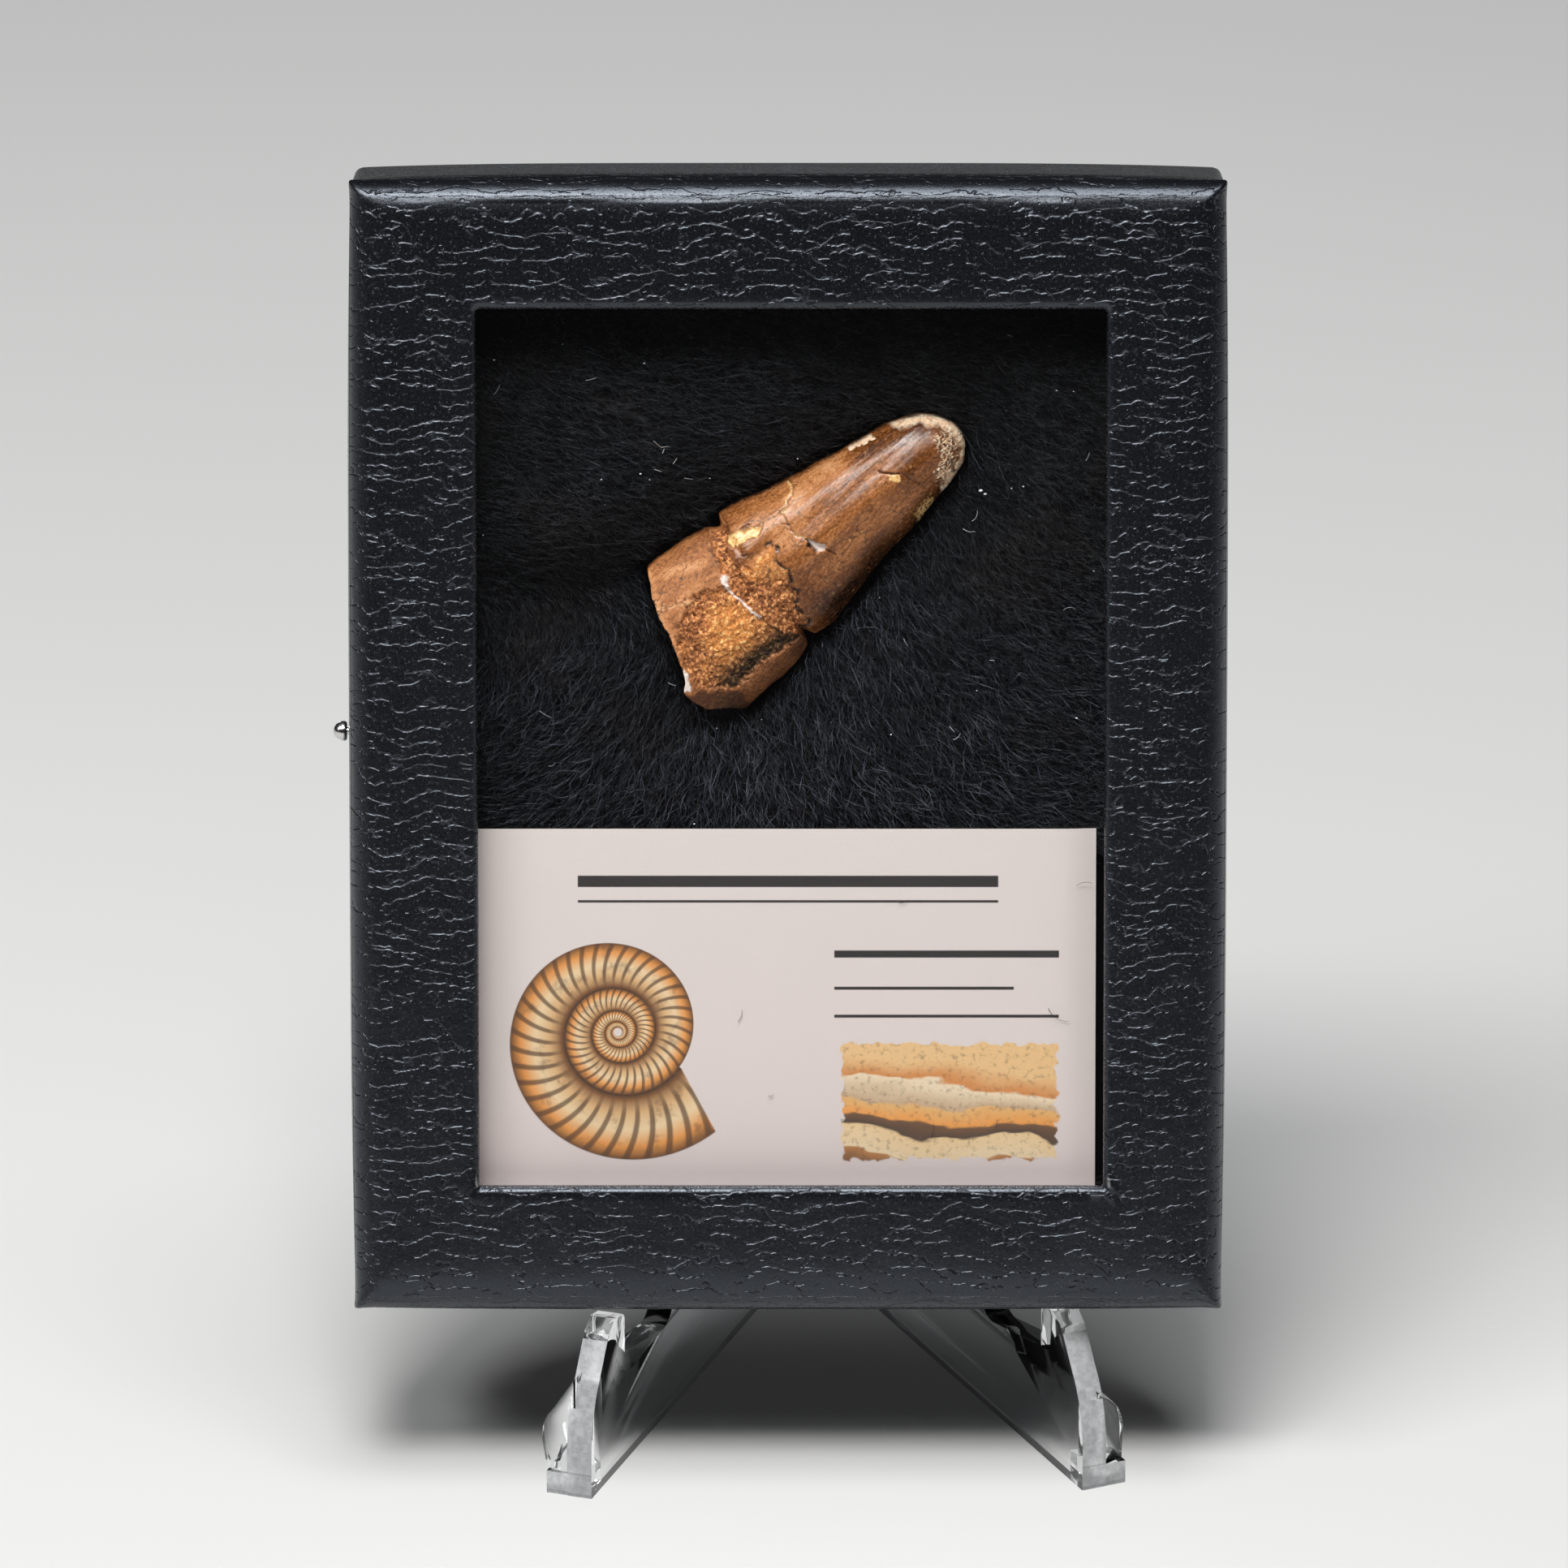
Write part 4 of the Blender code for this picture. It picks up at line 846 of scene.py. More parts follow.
# Threads of lint: x, z, degrees, length, bend in degrees
LINT_THREADS = [
    (-12.3, 82.6, -40, 1.1, 10), (-11.6, 82.4, 8, 0.8, -10), (-11.8, 82.0, 70, 0.5, 0),
    (-10.7, 81.0, 55, 0.7, 15), (-12.3, 80.1, -18, 0.8, 0), (-9.4, 79.2, -8, 0.9, 5),
    (-27.5, 87.9, 58, 1.2, 30), (-18.6, 88.9, 15, 1.2, 25), (17.8, 75.6, 60, 1.3, 80),
    (17.2, 74.2, -15, 1.3, 60), (28.4, 81.5, 65, 0.9, 40), (21.0, 93.0, -20, 0.6, 0),
    (26.7, 67.0, 10, 1.3, -90), (16.1, 54.7, 40, 1.0, 60), (15.6, 55.4, -50, 0.8, 0),
    (-11.0, 59.4, -22, 0.9, 40), (-23.0, 56.8, -30, 1.4, 20), (-22.4, 52.0, 25, 0.8, 120),
    (11.2, 63.6, -60, 0.9, 40), (19.4, 62.0, -5, 0.5, 0),
]
# Crumbs of lint: x, z, radius
LINT_DOTS = [
    (-14.0, 79.8, 0.1), (-13.1, 79.2, 0.06), (-17.7, 79.3, 0.08), (-7.4, 79.2, 0.06), (0.9, 81.0, 0.08),
    (-13.6, 90.4, 0.07), (-27.8, 90.7, 0.08), (-21.3, 92.2, 0.06), (18.3, 78.0, 0.16), (18.7, 77.7, 0.12),
    (21.2, 78.4, 0.08), (22.3, 78.6, 0.1), (25.4, 87.8, 0.07), (27.0, 87.7, 0.06), (27.4, 56.5, 0.1),
    (9.8, 54.9, 0.09), (17.9, 59.1, 0.06), (-28.9, 74.0, 0.07), (-2.5, 56.0, 0.05), (-6.8, 55.2, 0.06),
    (14.5, 84.0, 0.06), (8.7, 67.7, 0.05), (29.0, 70.6, 0.06), (-8.9, 46.3, 0.1),
]


def to_tooth(x, z):
    dx, dz = x - TOOTH_ORIGIN[0], z - TOOTH_ORIGIN[1]
    c, s = math.cos(TOOTH_TURN), math.sin(TOOTH_TURN)
    return dx * c + dz * s, -dx * s + dz * c


def clear_of_tooth(x, z):
    """About how far a spot lies outside the tooth's outline, negative inside it."""
    u, v = to_tooth(x, z)
    outside_v = np.maximum(v - smooth_table(UPPER_SIDE, u), smooth_table(LOWER_SIDE, u) - v)
    outside_u = np.maximum(u - TIP_U, smooth_table(ROOT_EDGE, v) - u)
    both = np.hypot(np.maximum(outside_u, 0.0), np.maximum(outside_v, 0.0))
    return np.where(both > 0.0, both, np.maximum(outside_u, outside_v))


def pile_front(x, z):
    """Depth of the tips of the pile: it swells to the glass and dips round the tooth."""
    near = np.maximum(clear_of_tooth(x, z), 0.0)
    dip = TOOTH_DIP * hump(near, 0.0, TOOTH_DIP_REACH)
    valley = VALLEY_DEPTH * hump(x, -21.0, 9.0, z, 68.0, 3.5)
    wave = PILE_WAVE * Grain(5).at(x * 0.11, z * 0.11)
    return np.maximum(PILE_REST_DEPTH + dip + valley + wave, TRAY_FRONT + CARD_THICKNESS + GAP + 0.1)


def make_pile_ground():
    """A closed cushion under the hairs, with a pocket where the tooth lies."""
    columns, rows = 80, 105
    side = SKIRT_WALL + GAP + TRAY_WALL + GAP
    half = BOX_WIDTH / 2 - side
    back = BOX_DEPTH - TRAY_WALL - GAP - 0.05
    x, z = grid_spots(-half, half, side, BOX_HEIGHT - side, columns, rows)
    y = pile_front(x, z) + PILE_THICKNESS + 0.25 * Grain(6).rough(x, z)
    pocket = fall(0.1, 1.0, clear_of_tooth(x, z))
    y = np.minimum(y + (back - 1.2 - y) * pocket, back - 0.4)
    mesh = closed_slab("pile ground", plane_points(x, y, z), plane_points(x, back, z), rows, columns)
    cloth = mottled("pile ground", 1.5, 3.0, (0.002, 0.002, 0.003), (0.006, 0.006, 0.008), Roughness=0.9,
                    Specular_IOR_Level=0.1)
    add_piece("pile_ground", face_outwards(mesh), cloth, ["fur_lining"])


def flow_heading(x, z):
    """Angle at which the pile is combed at each spot, from the noted spots near it."""
    way = np.zeros((len(x), 2))
    for place_x, place_z, degrees in HAIR_FLOW:
        weight = 1.0 / (((x - place_x) ** 2 + (z - place_z) ** 2) ** 1.3 + 4.0)
        way += weight[:, None] * (math.cos(math.radians(degrees)), math.sin(math.radians(degrees)))
    return np.arctan2(way[:, 1], way[:, 0])


def tube_mesh(name, paths, radii, tints):
    """Three-sided tapering tubes along equal-length paths, pointed at the tip."""
    count, steps, _ = paths.shape
    tangent = unit(np.gradient(paths, axis=1))
    side = unit(np.cross(tangent, (0.0, 1.0, 0.0)))
    up = np.cross(side, tangent)
    taper = 1.0 - 0.45 * np.arange(steps - 1)[None, :, None] / (steps - 1)
    rings = []
    for k in range(3):
        turn = math.tau * k / 3 + math.pi / 2
        offset = math.cos(turn) * side[:, :-1] + math.sin(turn) * up[:, :-1]
        rings.append(paths[:, :-1] + offset * radii[:, None, None] * taper)
    rings = np.stack(rings, axis=2).reshape(count, -1, 3)
    verts = np.concatenate((rings, paths[:, -1:]), axis=1)
    each = verts.shape[1]
    last = 3 * (steps - 2)
    tris = np.array([(last + k, last + (k + 1) % 3, each - 1) for k in range(3)] + [(2, 1, 0)])
    base = (np.arange(count) * each)[:, None, None]
    face_sets = [(base + faces).reshape(-1, faces.shape[1])
                 for faces in (grid_faces(steps - 1, 3, closed_columns=True), tris)]
    mesh = mesh_from_arrays(name, verts.reshape(-1, 3) * MM, face_sets)
    keep(mesh, "tint", np.repeat(tints, each))
    return mesh


def hair_paths(count, lengths, steps, depths, seed):
    """Curved paths of hairs that root in the pile and rise along it towards their tips."""
    chance, grain = np.random.default_rng(seed), Grain(seed)
    x, z = chance.uniform(*HAIR_X, count), chance.uniform(*HAIR_Z, count)
    clear = clear_of_tooth(x, z) > 0.1
    x, z = x[clear], z[clear]
    count = len(x)

    def wave(scale, layer=0.0):
        return grain.at(x * scale, z * scale, layer)

    turn = np.radians(22.0 * chance.normal(size=count) + 34.0 * wave(0.35) + 22.0 * wave(1.1, 3.0))
    curl = np.radians(55.0 * chance.normal(size=count))
    stride = chance.uniform(*lengths, count) / (steps - 1)
    start_depth = PILE_THICKNESS * chance.uniform(0.55, 0.95, count)
    end_depth = chance.uniform(*depths, count)
    heading = flow_heading(x, z) + turn - curl / 2
    points = []
    px, pz = x, z
    for share in np.arange(steps) / (steps - 1):
        offset = start_depth + (end_depth - start_depth) * (1.0 - (1.0 - share) ** 2)
        points.append(np.column_stack((px, pile_front(px, pz) + offset, pz)))
        px = px + stride * np.cos(heading + curl * share)
        pz = pz + stride * np.sin(heading + curl * share)
    paths = np.stack(points, axis=1)
    all_x, all_z = paths[..., 0], paths[..., 2]
    inside = (np.abs(all_x).max(axis=1) < HAIR_LIMIT_X) & (all_z.max(axis=1) < HAIR_LIMIT_Z)
    above_card = all_z.min(axis=1) > CARD[2] + CARD_COVER
    off_tooth = clear_of_tooth(all_x, all_z).min(axis=1) > chance.uniform(-0.4, 0.35, count)
    shown = off_tooth & inside & above_card
    # Paler clumps of hairs: painted glints
    glint_clumps = 0.1 + 0.16 * grain.rough(x * 0.45, z * 0.45, 5.0) + 0.12 * wave(0.09, 5.0)
    # Painted shade and light by place: darker hairs in the top band under the lid, on the right and in the
    # valley on the left; paler hairs below the valley and low in the middle
    dark = 0.15 * rise(64.0, 78.0, z) + 0.07 * rise(8.0, 18.0, x) * rise(56.0, 64.0, z)
    dark += 0.26 * hump(x, -24.0, 9.0, z, 68.0, 4.5) - 0.12 * hump(x, -26.0, 5.0, z, 59.5, 2.5)
    dark -= 0.08 * hump(x, 0.5, 9.0, z, 48.5, 4.0)
    tint = np.clip(chance.uniform(0.0, 0.86, count) + glint_clumps - dark, 0.0, 1.0)
    return paths[shown], tint[shown]


def make_pile():
    """Two layers of long hairs over two of short ones."""
    material = pile_hair()
    kinds = [("long", 30, (13600, (2.2, 4.2), 4, (0.0, 0.5))),
             ("short", 32, (19500, (1.0, 2.2), 3, (0.3, 1.0)))]
    for kind, seed, values in kinds:
        for layer in (1, 2):
            name = f"pile_hairs_{kind}_{layer}"
            paths, tints = hair_paths(*values, seed + layer)
            mesh = tube_mesh(name, paths, 0.022 + 0.026 * tints ** 2, tints)
            add_piece(name, mesh, material, ["fur_lining"])


def curved_thread(x, y, z, degrees, length, bend, steps=9):
    """Points of a thread centred on a spot, turning by bend degrees along its length."""
    share = np.linspace(0.0, 1.0, steps)
    heading = np.radians(degrees + bend * (share - 0.5))
    run = np.column_stack((np.cos(heading), np.zeros(steps), np.sin(heading))) * length / (steps - 1)
    points = np.cumsum(run, axis=0)
    return points - points.mean(axis=0) + (x, y, z)


def make_lint():
    """Pale threads and crumbs that cling to the pile."""
    paths = np.array([curved_thread(x, pile_front(x, z)[0] - 0.02, z, turn, length, bend)
                      for x, z, turn, length, bend in LINT_THREADS])
    tints = np.array([0.18 + 0.42 * math.sin(3.7 * k) ** 2 for k in range(len(paths))])
    builder = bmesh.new()
    builder.from_mesh(tube_mesh("threads", paths, np.full(len(paths), 0.032), tints))
    tint = builder.verts.layers.float["tint"]
    for x, z, radius in LINT_DOTS:
        place = Matrix.Translation(Vector((x, pile_front(x, z)[0], z)) * MM)
        place = place @ Matrix.Diagonal((1.3, 0.8, 1.0, 1.0))
        made = bmesh.ops.create_icosphere(builder, subdivisions=2, radius=0.8 * radius * MM, matrix=place)
        for vert in made["verts"]:
            vert[tint] = 0.9
            dent = 0.25 * radius * MM * math.sin(9000.0 * (vert.co.x + vert.co.z))
            vert.co += Vector((dent, 0.0, 0.0))
    mesh = written(builder, bpy.data.meshes.new("lint"))
    mesh.shade_smooth()
    add_piece("lint", face_outwards(mesh), lint())


def make_stray_hairs():
    """Dark hairs caught between the glass and the card: x, z, degrees, length, bend in degrees."""
    hairs = [(25.7, 27.9, -35, 2.6, 75), (11.0, 39.0, 20, 1.0, 90), (28.2, 40.8, 10, 1.6, -60),
             (-4.5, 28.0, 70, 1.3, 60), (13.8, 17.0, 80, 1.6, 30), (-1.6, 20.3, 15, 0.6, 120),
             (19.9, 17.6, 85, 1.0, 40)]
    paths = np.array([curved_thread(x, TRAY_FRONT - 0.12, z, turn, length, bend, 12)
                      for x, z, turn, length, bend in hairs])
    mesh = tube_mesh("stray hairs", paths, np.full(len(hairs), 0.035), np.zeros(len(hairs)))
    dark = mottled("stray hair", 1.0, 2.0, (0.015, 0.012, 0.01), (0.09, 0.07, 0.055), Roughness=0.5)
    add_piece("stray_hairs", mesh, dark)


# Lid

BOX_EDGES = (-BOX_WIDTH / 2, BOX_WIDTH / 2, 0.0, BOX_HEIGHT)
LID_CORNER_RADIUS = 0.85
WINDOW_CORNER_RADIUS = 0.3
LIP_RADIUS = 0.75
ROLL_ANGLE = math.radians(76.0)
CROWN_FALL = 0.35
CROWN_REACH = 1.4
EAR_REACH = 2.6
EAR_HEIGHT = 0.32
PINCH_REACH = 0.7
WEAR_DEPTH = 0.28
SIDE_STEPS = 90
CORNER_STEPS = 7


def rounded_rectangle(edges, inset, radius):
    """Points and outward ways of (left, right, low, high) drawn in, once round from the bottom left."""
    left, right, low, high = np.array(edges) + inset * np.array((1, -1, 1, -1))
    centres = np.array([(left + radius, low + radius), (right - radius, low + radius),
                        (right - radius, high - radius), (left + radius, high - radius)])
    points, ways = [], []
    for centre, next_centre, start in zip(centres, np.roll(centres, -1, axis=0), (180.0, 270.0, 0.0, 90.0)):
        turn = np.radians(start + 90.0 * np.arange(CORNER_STEPS + 1) / CORNER_STEPS)
        arc = np.column_stack((np.cos(turn), np.sin(turn)))
        here, there = centre + radius * arc[-1], next_centre + radius * arc[-1]
        side = here + (there - here) * np.arange(SIDE_STEPS)[:, None] / SIDE_STEPS
        points += [centre + radius * arc[:-1], side]
        ways += [arc[:-1], np.tile(arc[-1], (SIDE_STEPS, 1))]
    return np.vstack(points), np.vstack(ways)


def lid_section():
    """Section of the lid: (ring, inset, depth) with ring 0 at the skirt and 1 at the window."""
    edge, lip = LID_EDGE_RADIUS, LIP_RADIUS
    section = [(0.0, 0.12, SKIRT_DEPTH), (0.0, 0.0, SKIRT_DEPTH - 0.15)]
    section += [(0.0, 0.0, depth) for depth in np.linspace(SKIRT_DEPTH, edge, 18)[1:]]
    drop = CROWN_FALL - edge + edge * math.sin(ROLL_ANGLE)
    section += [(0.0, edge - edge * math.cos(a), edge - edge * math.sin(a) + drop)
                for a in np.linspace(0.0, ROLL_ANGLE, 11)[1:]]
    section += [(share, None, 0.0) for share in np.linspace(0.0, 1.0, 21)[1:-1] ** 1.5]
    section += [(1.0, -lip + lip * math.sin(a), lip - lip * math.cos(a))
                for a in np.linspace(0.0, math.pi / 2, 7)]
    section += [(1.0, 0.0, LID_BOARD * 0.7), (1.0, -0.1, LID_BOARD)]
    section += [(0.0, SKIRT_WALL, depth) for depth in (LID_BOARD, SKIRT_DEPTH - 0.1)]
    return section + [(0.0, SKIRT_WALL - 0.1, SKIRT_DEPTH)]


def make_lid():
    """The wrapped board and skirt as one swept shell, soft at the edges and pinched at the corners."""
    half = BOX_WIDTH / 2
    grain = Grain(21)
    outer, outer_ways = rounded_rectangle(BOX_EDGES, LID_EDGE_RADIUS * (1.0 - math.cos(ROLL_ANGLE)),
                                          LID_CORNER_RADIUS)
    inner, _ = rounded_rectangle(WINDOW, -LIP_RADIUS, WINDOW_CORNER_RADIUS + LIP_RADIUS)
    rings, sheets, frays = [], [], []
    for ring, inset, depth in lid_section():
        flat = inset is None
        outside = ring == 0.0 and not flat and inset < SKIRT_WALL - 0.2
        if flat:
            points, ways = outer + (inner - outer) * ring, outer_ways
        elif ring == 0.0:
            points, ways = rounded_rectangle(BOX_EDGES, inset, max(LID_CORNER_RADIUS - inset * 0.3, 0.2))
        else:
            points, ways = rounded_rectangle(WINDOW, inset, WINDOW_CORNER_RADIUS - min(inset, 0.0))
        x, z = points.T.copy()
        y = np.full(len(x), depth)
        sheet = points.copy()
        if flat:
            y += CROWN_FALL * np.exp(-np.linalg.norm(points - outer, axis=1) / CROWN_REACH)
        if outside:
            tall, wide = np.abs(ways.T) > 0.99
            span = np.where(tall, 2 * z / BOX_HEIGHT - 1, np.where(wide, x / half, 1.0))
            belly = SKIRT_BULGE * (1.0 - span ** 4) * rise(0.0, 5.0, depth)
            x += ways[:, 0] * belly
            z += ways[:, 1] * belly
            sheet += ways * (max(depth - LID_EDGE_RADIUS, 0.0) + (LID_EDGE_RADIUS - inset))
        if outside or flat:
            from_side, from_end = np.abs(x) - half, np.minimum(z, BOX_HEIGHT - z)
            ear = EAR_HEIGHT * fall(0.2, EAR_REACH, np.hypot(from_side, from_end))
            ear *= fall(1.6, 5.0, depth) * hump(from_side, -from_end, PINCH_REACH)
            x += np.sign(x) * ear
            z += np.sign(z - BOX_HEIGHT / 2) * ear
            y -= 0.25 * ear
        beside = np.minimum(np.abs(x - WINDOW[0]), np.abs(x - WINDOW[1]))
        worn = fall(0.4, 1.5, np.hypot(beside, z - WINDOW[2])) * (ring > 0.8)
        rough = grain.rough(x * 2.4, z * 2.4, depth * 2.4)
        y -= WEAR_DEPTH * worn * np.maximum(rough + 0.2, 0.0)
        if flat or ring == 1.0:
            y += 0.05 * grain.rough(x * 0.09, z * 0.09, depth * 0.2, 2)
        rings.append(np.column_stack((x, y, z)))
        sheets.append(sheet)
        frays.append(worn * rise(0.35, 0.65, rough) * 0.8)
    mesh = mesh_from_arrays("lid", np.vstack(rings) * MM, [grid_faces(len(rings), len(outer), True, True)])
    keep(mesh, "sheet", plane_points(*np.vstack(sheets).T))
    keep(mesh, "fray", np.concatenate(frays))
    add_piece("lid_wrap", face_outwards(mesh), leatherette(), ["lid"])


# Card, pin

def make_card():
    """The card, a little bowed back at its right edge and a little wider on the left, under the lid."""
    columns, rows = 90, 40
    hidden_edge = 0.45
    left, right, low, high = CARD
    x, z = grid_spots(left - hidden_edge, right, low, high, columns, rows)
    bow = 0.42 * rise(right - 3.2, right + 0.8, x) + 0.05 * np.sin(x * 0.11) * np.sin(z * 0.09)
    front = np.column_stack((x, TRAY_FRONT + 0.06 + np.maximum(bow, 0.0), z))
    mesh = closed_slab("card", front, front + (0.0, CARD_THICKNESS * 0.8, 0.0), rows, columns)
    mesh.set_sharp_from_angle(angle=math.radians(40.0))
    add_piece("card_print", face_outwards(mesh), printed_card(), ["label_card"])


def make_pin():
    """Domed head on a thin shank, turned about the line that it is pushed in along."""
    head, proud, shank, length, turns = 0.95, 1.3, 0.35, 6.0, 48
    dome = [(0.86 * math.sin(a), 0.45 + 0.55 * math.cos(a)) for a in np.linspace(0.02, math.pi / 2, 12)]
    dome += [(0.97, 0.44), (1.0, 0.38), (1.0, 0.16), (0.95, 0.08), (0.82, 0.0)]
    profile = [(head * r, proud * h) for r, h in dome]
    profile += [(shank, 0.0), (shank, -length + 1.2), (0.02, -length)]
    angle = np.linspace(0.0, math.tau, turns, endpoint=False)
    rings = [np.column_stack((np.full(turns, -h), r * np.cos(angle), r * np.sin(angle))) for r, h in profile]
    verts = np.vstack(rings) + (-BOX_WIDTH / 2 - SKIRT_BULGE - GAP, 8.2, 54.75)
    k = np.arange(turns)[None]
    end = k + (len(profile) - 1) * turns
    mesh = mesh_from_arrays("pin", verts * MM, [grid_faces(len(profile), turns, True), k, end[:, ::-1]])
    mesh.set_sharp_from_angle(angle=math.radians(50.0))
    add_piece("steel_pin", face_outwards(mesh), pin_steel(), ["pin"])


# Easel

PLATE_SPREAD = math.radians(21.9)
PLATE_THICKNESS = 2.5
PLATE_REACH = 47.0 / 2 + PLATE_THICKNESS / 2 * math.cos(PLATE_SPREAD)
BOX_FRONT_EDGE = (2.3, 18.15)
NOTCH_FRONT_S = 9.4
PRONG_TIP_S = 6.6
NOTCH_FLOOR = (11.4, 9.4)
UPRIGHT_TOP = 68.0
PLATE_LENGTH = 77.0
FROSTED_TOP = 14.2
CURVE_STEPS = 14
PAD_WIDTH = 2.1
PAD_HEIGHT = 2.3
PAD_DEPTH = 4.4


def bend_through(start, corner, end, steps=CURVE_STEPS):
    """A round stretch from start to end, drawn towards the corner."""
    t = np.linspace(0.0, 1.0, steps + 1)[:, None]
    start, corner, end = (np.array(point, float) for point in (start, corner, end))
    return [tuple(point) for point in (1 - t) ** 2 * start + 2 * t * (1 - t) * corner + t * t * end]


def back_line(z):
    """Distance along a plate at which its upright meets the leaning back."""
    y = BOX_FRONT_EDGE[0] + BOX_DEPTH * math.cos(BOX_LEAN)
    y += (z - BOX_FRONT_EDGE[1] + BOX_DEPTH * math.sin(BOX_LEAN)) * math.tan(BOX_LEAN) + 1.5 * GAP
    return (y + PLATE_REACH * math.sin(EASEL_YAW)) / math.cos(PLATE_SPREAD - EASEL_YAW)


def under_box(s):
    """Height of a prong's top just under the box's bottom face."""
    y = PLATE_REACH * math.sin(EASEL_YAW) + s * math.cos(PLATE_SPREAD + EASEL_YAW)
    return BOX_FRONT_EDGE[1] - (y - BOX_FRONT_EDGE[0]) * math.tan(BOX_LEAN) - SKIRT_BULGE - 1.6 * GAP


def plate_outline():
    """Side view of one plate, from its front foot clockwise, as (s, z)."""
    floor_front, floor_back = NOTCH_FLOOR
    prong_end = NOTCH_FRONT_S - 0.5
    seat, seat_round = back_line(floor_back), 2.2
    top, top_round, back = back_line(UPRIGHT_TOP), UPRIGHT_TOP - 4, back_line(UPRIGHT_TOP) + 9.0
    outline = [(0.0, 0.0)] + bend_through((0.0, 4.0), (0.1, 8.6), (2.4, 11.4))
    outline += bend_through((4.6, 14.55), (4.9, 15.0), (5.1, 15.2), 4)
    outline += [(PRONG_TIP_S, under_box(PRONG_TIP_S)), (prong_end, under_box(prong_end))]
    outline += [(NOTCH_FRONT_S, under_box(prong_end) - 0.45), (NOTCH_FRONT_S, floor_front)]
    outline += bend_through((seat - seat_round, floor_back), (seat, floor_back),
                            (back_line(floor_back + seat_round), floor_back + seat_round), 8)
    outline += bend_through((back_line(top_round), top_round), (top, UPRIGHT_TOP), (top + 4, UPRIGHT_TOP))
    outline += bend_through((back - 3, UPRIGHT_TOP), (back, UPRIGHT_TOP), (back + 1.2, top_round))
    outline += bend_through((60.0, 31.0), (65.5, 18.0), (PLATE_LENGTH, 3.2), 20)
    return outline + [(PLATE_LENGTH, 0.0)]


def upright_rectangle(near, far, low, high):
    """Outline of a block in a plate's side view."""
    return [(near, low), (near, high), (far, high), (far, low)]


def slab(outline, low, high, turned=False):
    """A prism between two distances: across the plate, or along it if turned."""
    builder = bmesh.new()
    ends = []
    for distance in (low, high):
        spots = [(distance, s, z) if turned else (s, distance, z) for s, z in outline]
        ends.append([builder.verts.new(Vector(spot) * MM) for spot in spots])
    for k in range(len(outline)):
        after = (k + 1) % len(outline)
        builder.faces.new((ends[0][k], ends[0][after], ends[1][after], ends[1][k]))
    for end in ends:
        builder.faces.new(end)
    bmesh.ops.recalc_face_normals(builder, faces=builder.faces)
    return linked("scratch", written(builder, bpy.data.meshes.new("slab")))


def combined(thing, cuts):
    """Apply Boolean steps to a scratch object, soften its edges and clear away what was used."""
    for operation, other in cuts:
        step = thing.modifiers.new(operation, "BOOLEAN")
        step.operation = operation
        step.solver = "EXACT"
        step.object = other
    edges = thing.modifiers.new("edges", "BEVEL")
    edges.width = 0.13 * MM
    edges.segments = 2
    edges.limit_method = "ANGLE"
    edges.angle_limit = math.radians(35.0)
    edges.harden_normals = True
    graph = bpy.context.evaluated_depsgraph_get()
    mesh = bpy.data.meshes.new_from_object(thing.evaluated_get(graph))
    for used in (thing, *(other for _, other in cuts)):
        bpy.data.objects.remove(used, do_unlink=True)
    return mesh


def plate_place(side):
    """Where a plate stands in the easel: -1 on the left, +1 on the right."""
    spot = Vector((side * PLATE_REACH, PLATE_THICKNESS / 2 * math.sin(PLATE_SPREAD), 0.0)) * MM
    return Matrix.Translation(spot) @ Matrix.Rotation(math.radians(90.0) + side * PLATE_SPREAD, 4, "Z")


def make_plate(side, hand, materials):
    """One easel plate. Its pad and its fin stand outboard of the front foot."""
    half, out = PLATE_THICKNESS / 2, -side
    left = side < 0
    reach, top = (2.9, 12.0) if left else (2.2, 9.6)
    tip = half + reach
    sunk = half - 0.6
    pad = slab(upright_rectangle(0.05, PAD_DEPTH, 0.0, PAD_HEIGHT), out * sunk, out * (half + PAD_WIDTH))
    fin = [(sunk, 0.4), (half + PAD_WIDTH - 0.1, 0.4)]
    fin += bend_through((tip, 5.2), (tip, 7.2), (tip - 1.2, 8.4), 10) + [(sunk, top)]
    fin = slab([(out * s, z) for s, z in fin], 0.9, 2.7, turned=True)
    cross = PLATE_REACH / math.sin(PLATE_SPREAD)
    low, high = (-5.0, 10.5 + GAP / 2) if left else (10.5 - GAP / 2, 60.0)
    slot = slab(upright_rectangle(cross - 9, cross + 9, low, high), -half - GAP, half + GAP)
    slot.matrix_world = plate_place(side).inverted() @ plate_place(-side)
    cuts = [("UNION", pad), ("UNION", fin), ("DIFFERENCE", slot)]
    mesh = combined(slab(plate_outline(), -half, half), cuts)
    mesh.materials.clear()
    for material in materials:
        mesh.materials.append(material)
    for face in mesh.polygons:
        spot = face.center / MM
        forward = face.normal.x < -0.55
        foot = forward and spot.x < 1.0 and spot.z < PAD_HEIGHT
        edge = forward and spot.x < PRONG_TIP_S and abs(spot.y) < half + 0.02 and spot.z < FROSTED_TOP
        face.material_index = int(foot or edge)
    mesh.shade_smooth()
    mesh.set_sharp_from_angle(angle=math.radians(28.0))
    place = EASEL_PLACE @ plate_place(side)
    add_piece("easel_" + hand, mesh, None, ["easel_plate_" + hand], place)


# Studio

LIGHTS_AIM = (0.0, 0.0, 0.06)
FLOOR_GAP = 0.02 * MM
FLOOR_HALF = 8.0


def area_light(name, place, size, power, tint):
    """A soft box that faces the middle of the object."""
    light = bpy.data.lights.new(name, "AREA")
    light.shape = "RECTANGLE"
    light.size, light.size_y = size
    light.energy = power
    light.color = tint
    lamp = linked(name, light)
    lamp.location = place
    lamp.rotation_euler = (Vector(LIGHTS_AIM) - Vector(place)).to_track_quat("-Z", "Y").to_euler()


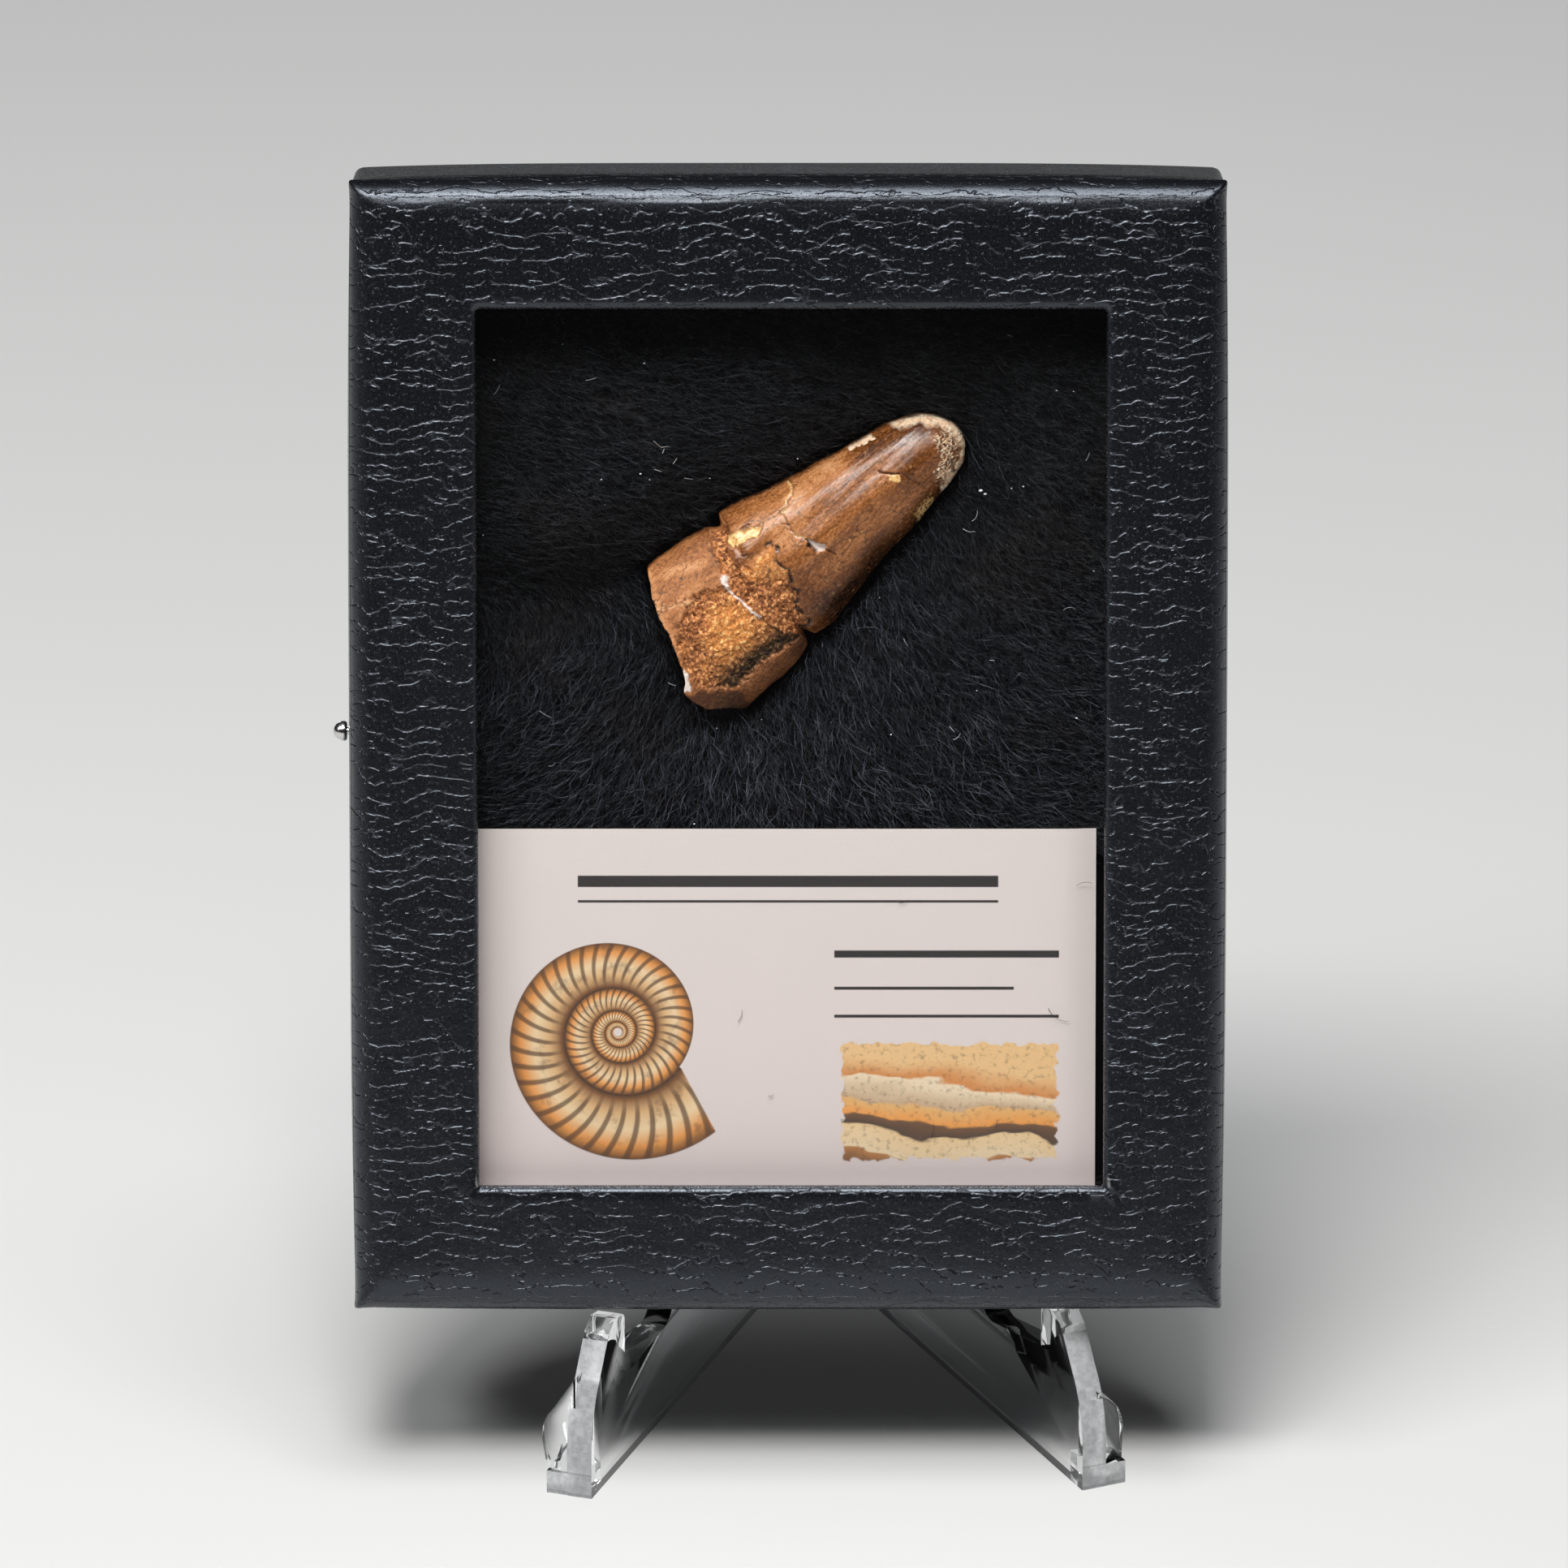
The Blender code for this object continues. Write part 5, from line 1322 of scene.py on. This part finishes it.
def make_studio():
    """A pale floor, a soft dim dome and soft boxes above the front."""
    builder = bmesh.new()
    bmesh.ops.create_grid(builder, x_segments=4, y_segments=4, size=FLOOR_HALF)
    floor = linked("floor", written(builder, bpy.data.meshes.new("floor")))
    paint = mottled("floor", 0.004, 2.0, (0.64, 0.64, 0.63), (0.68, 0.68, 0.67), Roughness=0.75,
                    Specular_IOR_Level=0.2)
    floor.data.materials.append(paint)
    floor.location.z = -FLOOR_GAP
    p = Painter("studio", world=True)
    _, _, height = p.split(p.signal("ShaderNodeTexCoord", output="Generated"))
    glow = p.ramp(height, [(0.0, (0.012, 0.012, 0.013)), (0.14, (0.018, 0.018, 0.01836)),
                           (0.5, (0.03, 0.03, 0.0306)), (0.8, (0.055, 0.055, 0.0561)),
                           (1.0, (0.2, 0.2, 0.205))])
    bpy.context.scene.world = p.finish(Color=glow, Strength=1.0)
    area_light("key", (-0.1, -0.4, 0.81), (0.36, 0.24), 5.35, (1.0, 0.985, 0.965))
    area_light("top", (0.1, -0.25, 1.7), (0.9, 0.7), 14.0, (0.96, 0.98, 1.0))
    area_light("fill", (-0.55, -0.45, 0.8), (0.36, 0.26), 3.6, (0.97, 0.98, 1.0))


def make_camera():
    """The reference view."""
    data = bpy.data.cameras.new("camera")
    data.sensor_width = 36.0
    data.lens = CAMERA_LENS
    data.clip_start, data.clip_end = 0.01, 30.0
    camera = linked("camera", data)
    camera.location = CAMERA_PLACE
    camera.rotation_euler = (CAMERA_TILT, 0.0, 0.0)
    bpy.context.scene.camera = camera
    bpy.context.scene.view_settings.view_transform = "Standard"


def dress_nodes():
    """Better finishes on the nodes that stay as they are."""
    finishes = {"glass_pane": window_glass(), "base_tray": tray_wrap()}
    for node, material in finishes.items():
        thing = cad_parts[node]
        thing.data.materials.clear()
        thing.data.materials.append(material)


make_studio()
make_camera()
dress_nodes()
make_tooth()
make_pile_ground()
make_pile()
make_lint()
make_lid()
make_card()
make_stray_hairs()
make_pin()
EASEL_FINISHES = (acrylic(False), acrylic(True))
make_plate(-1, "left", EASEL_FINISHES)
make_plate(1, "right", EASEL_FINISHES)

bpy.context.view_layer.update()
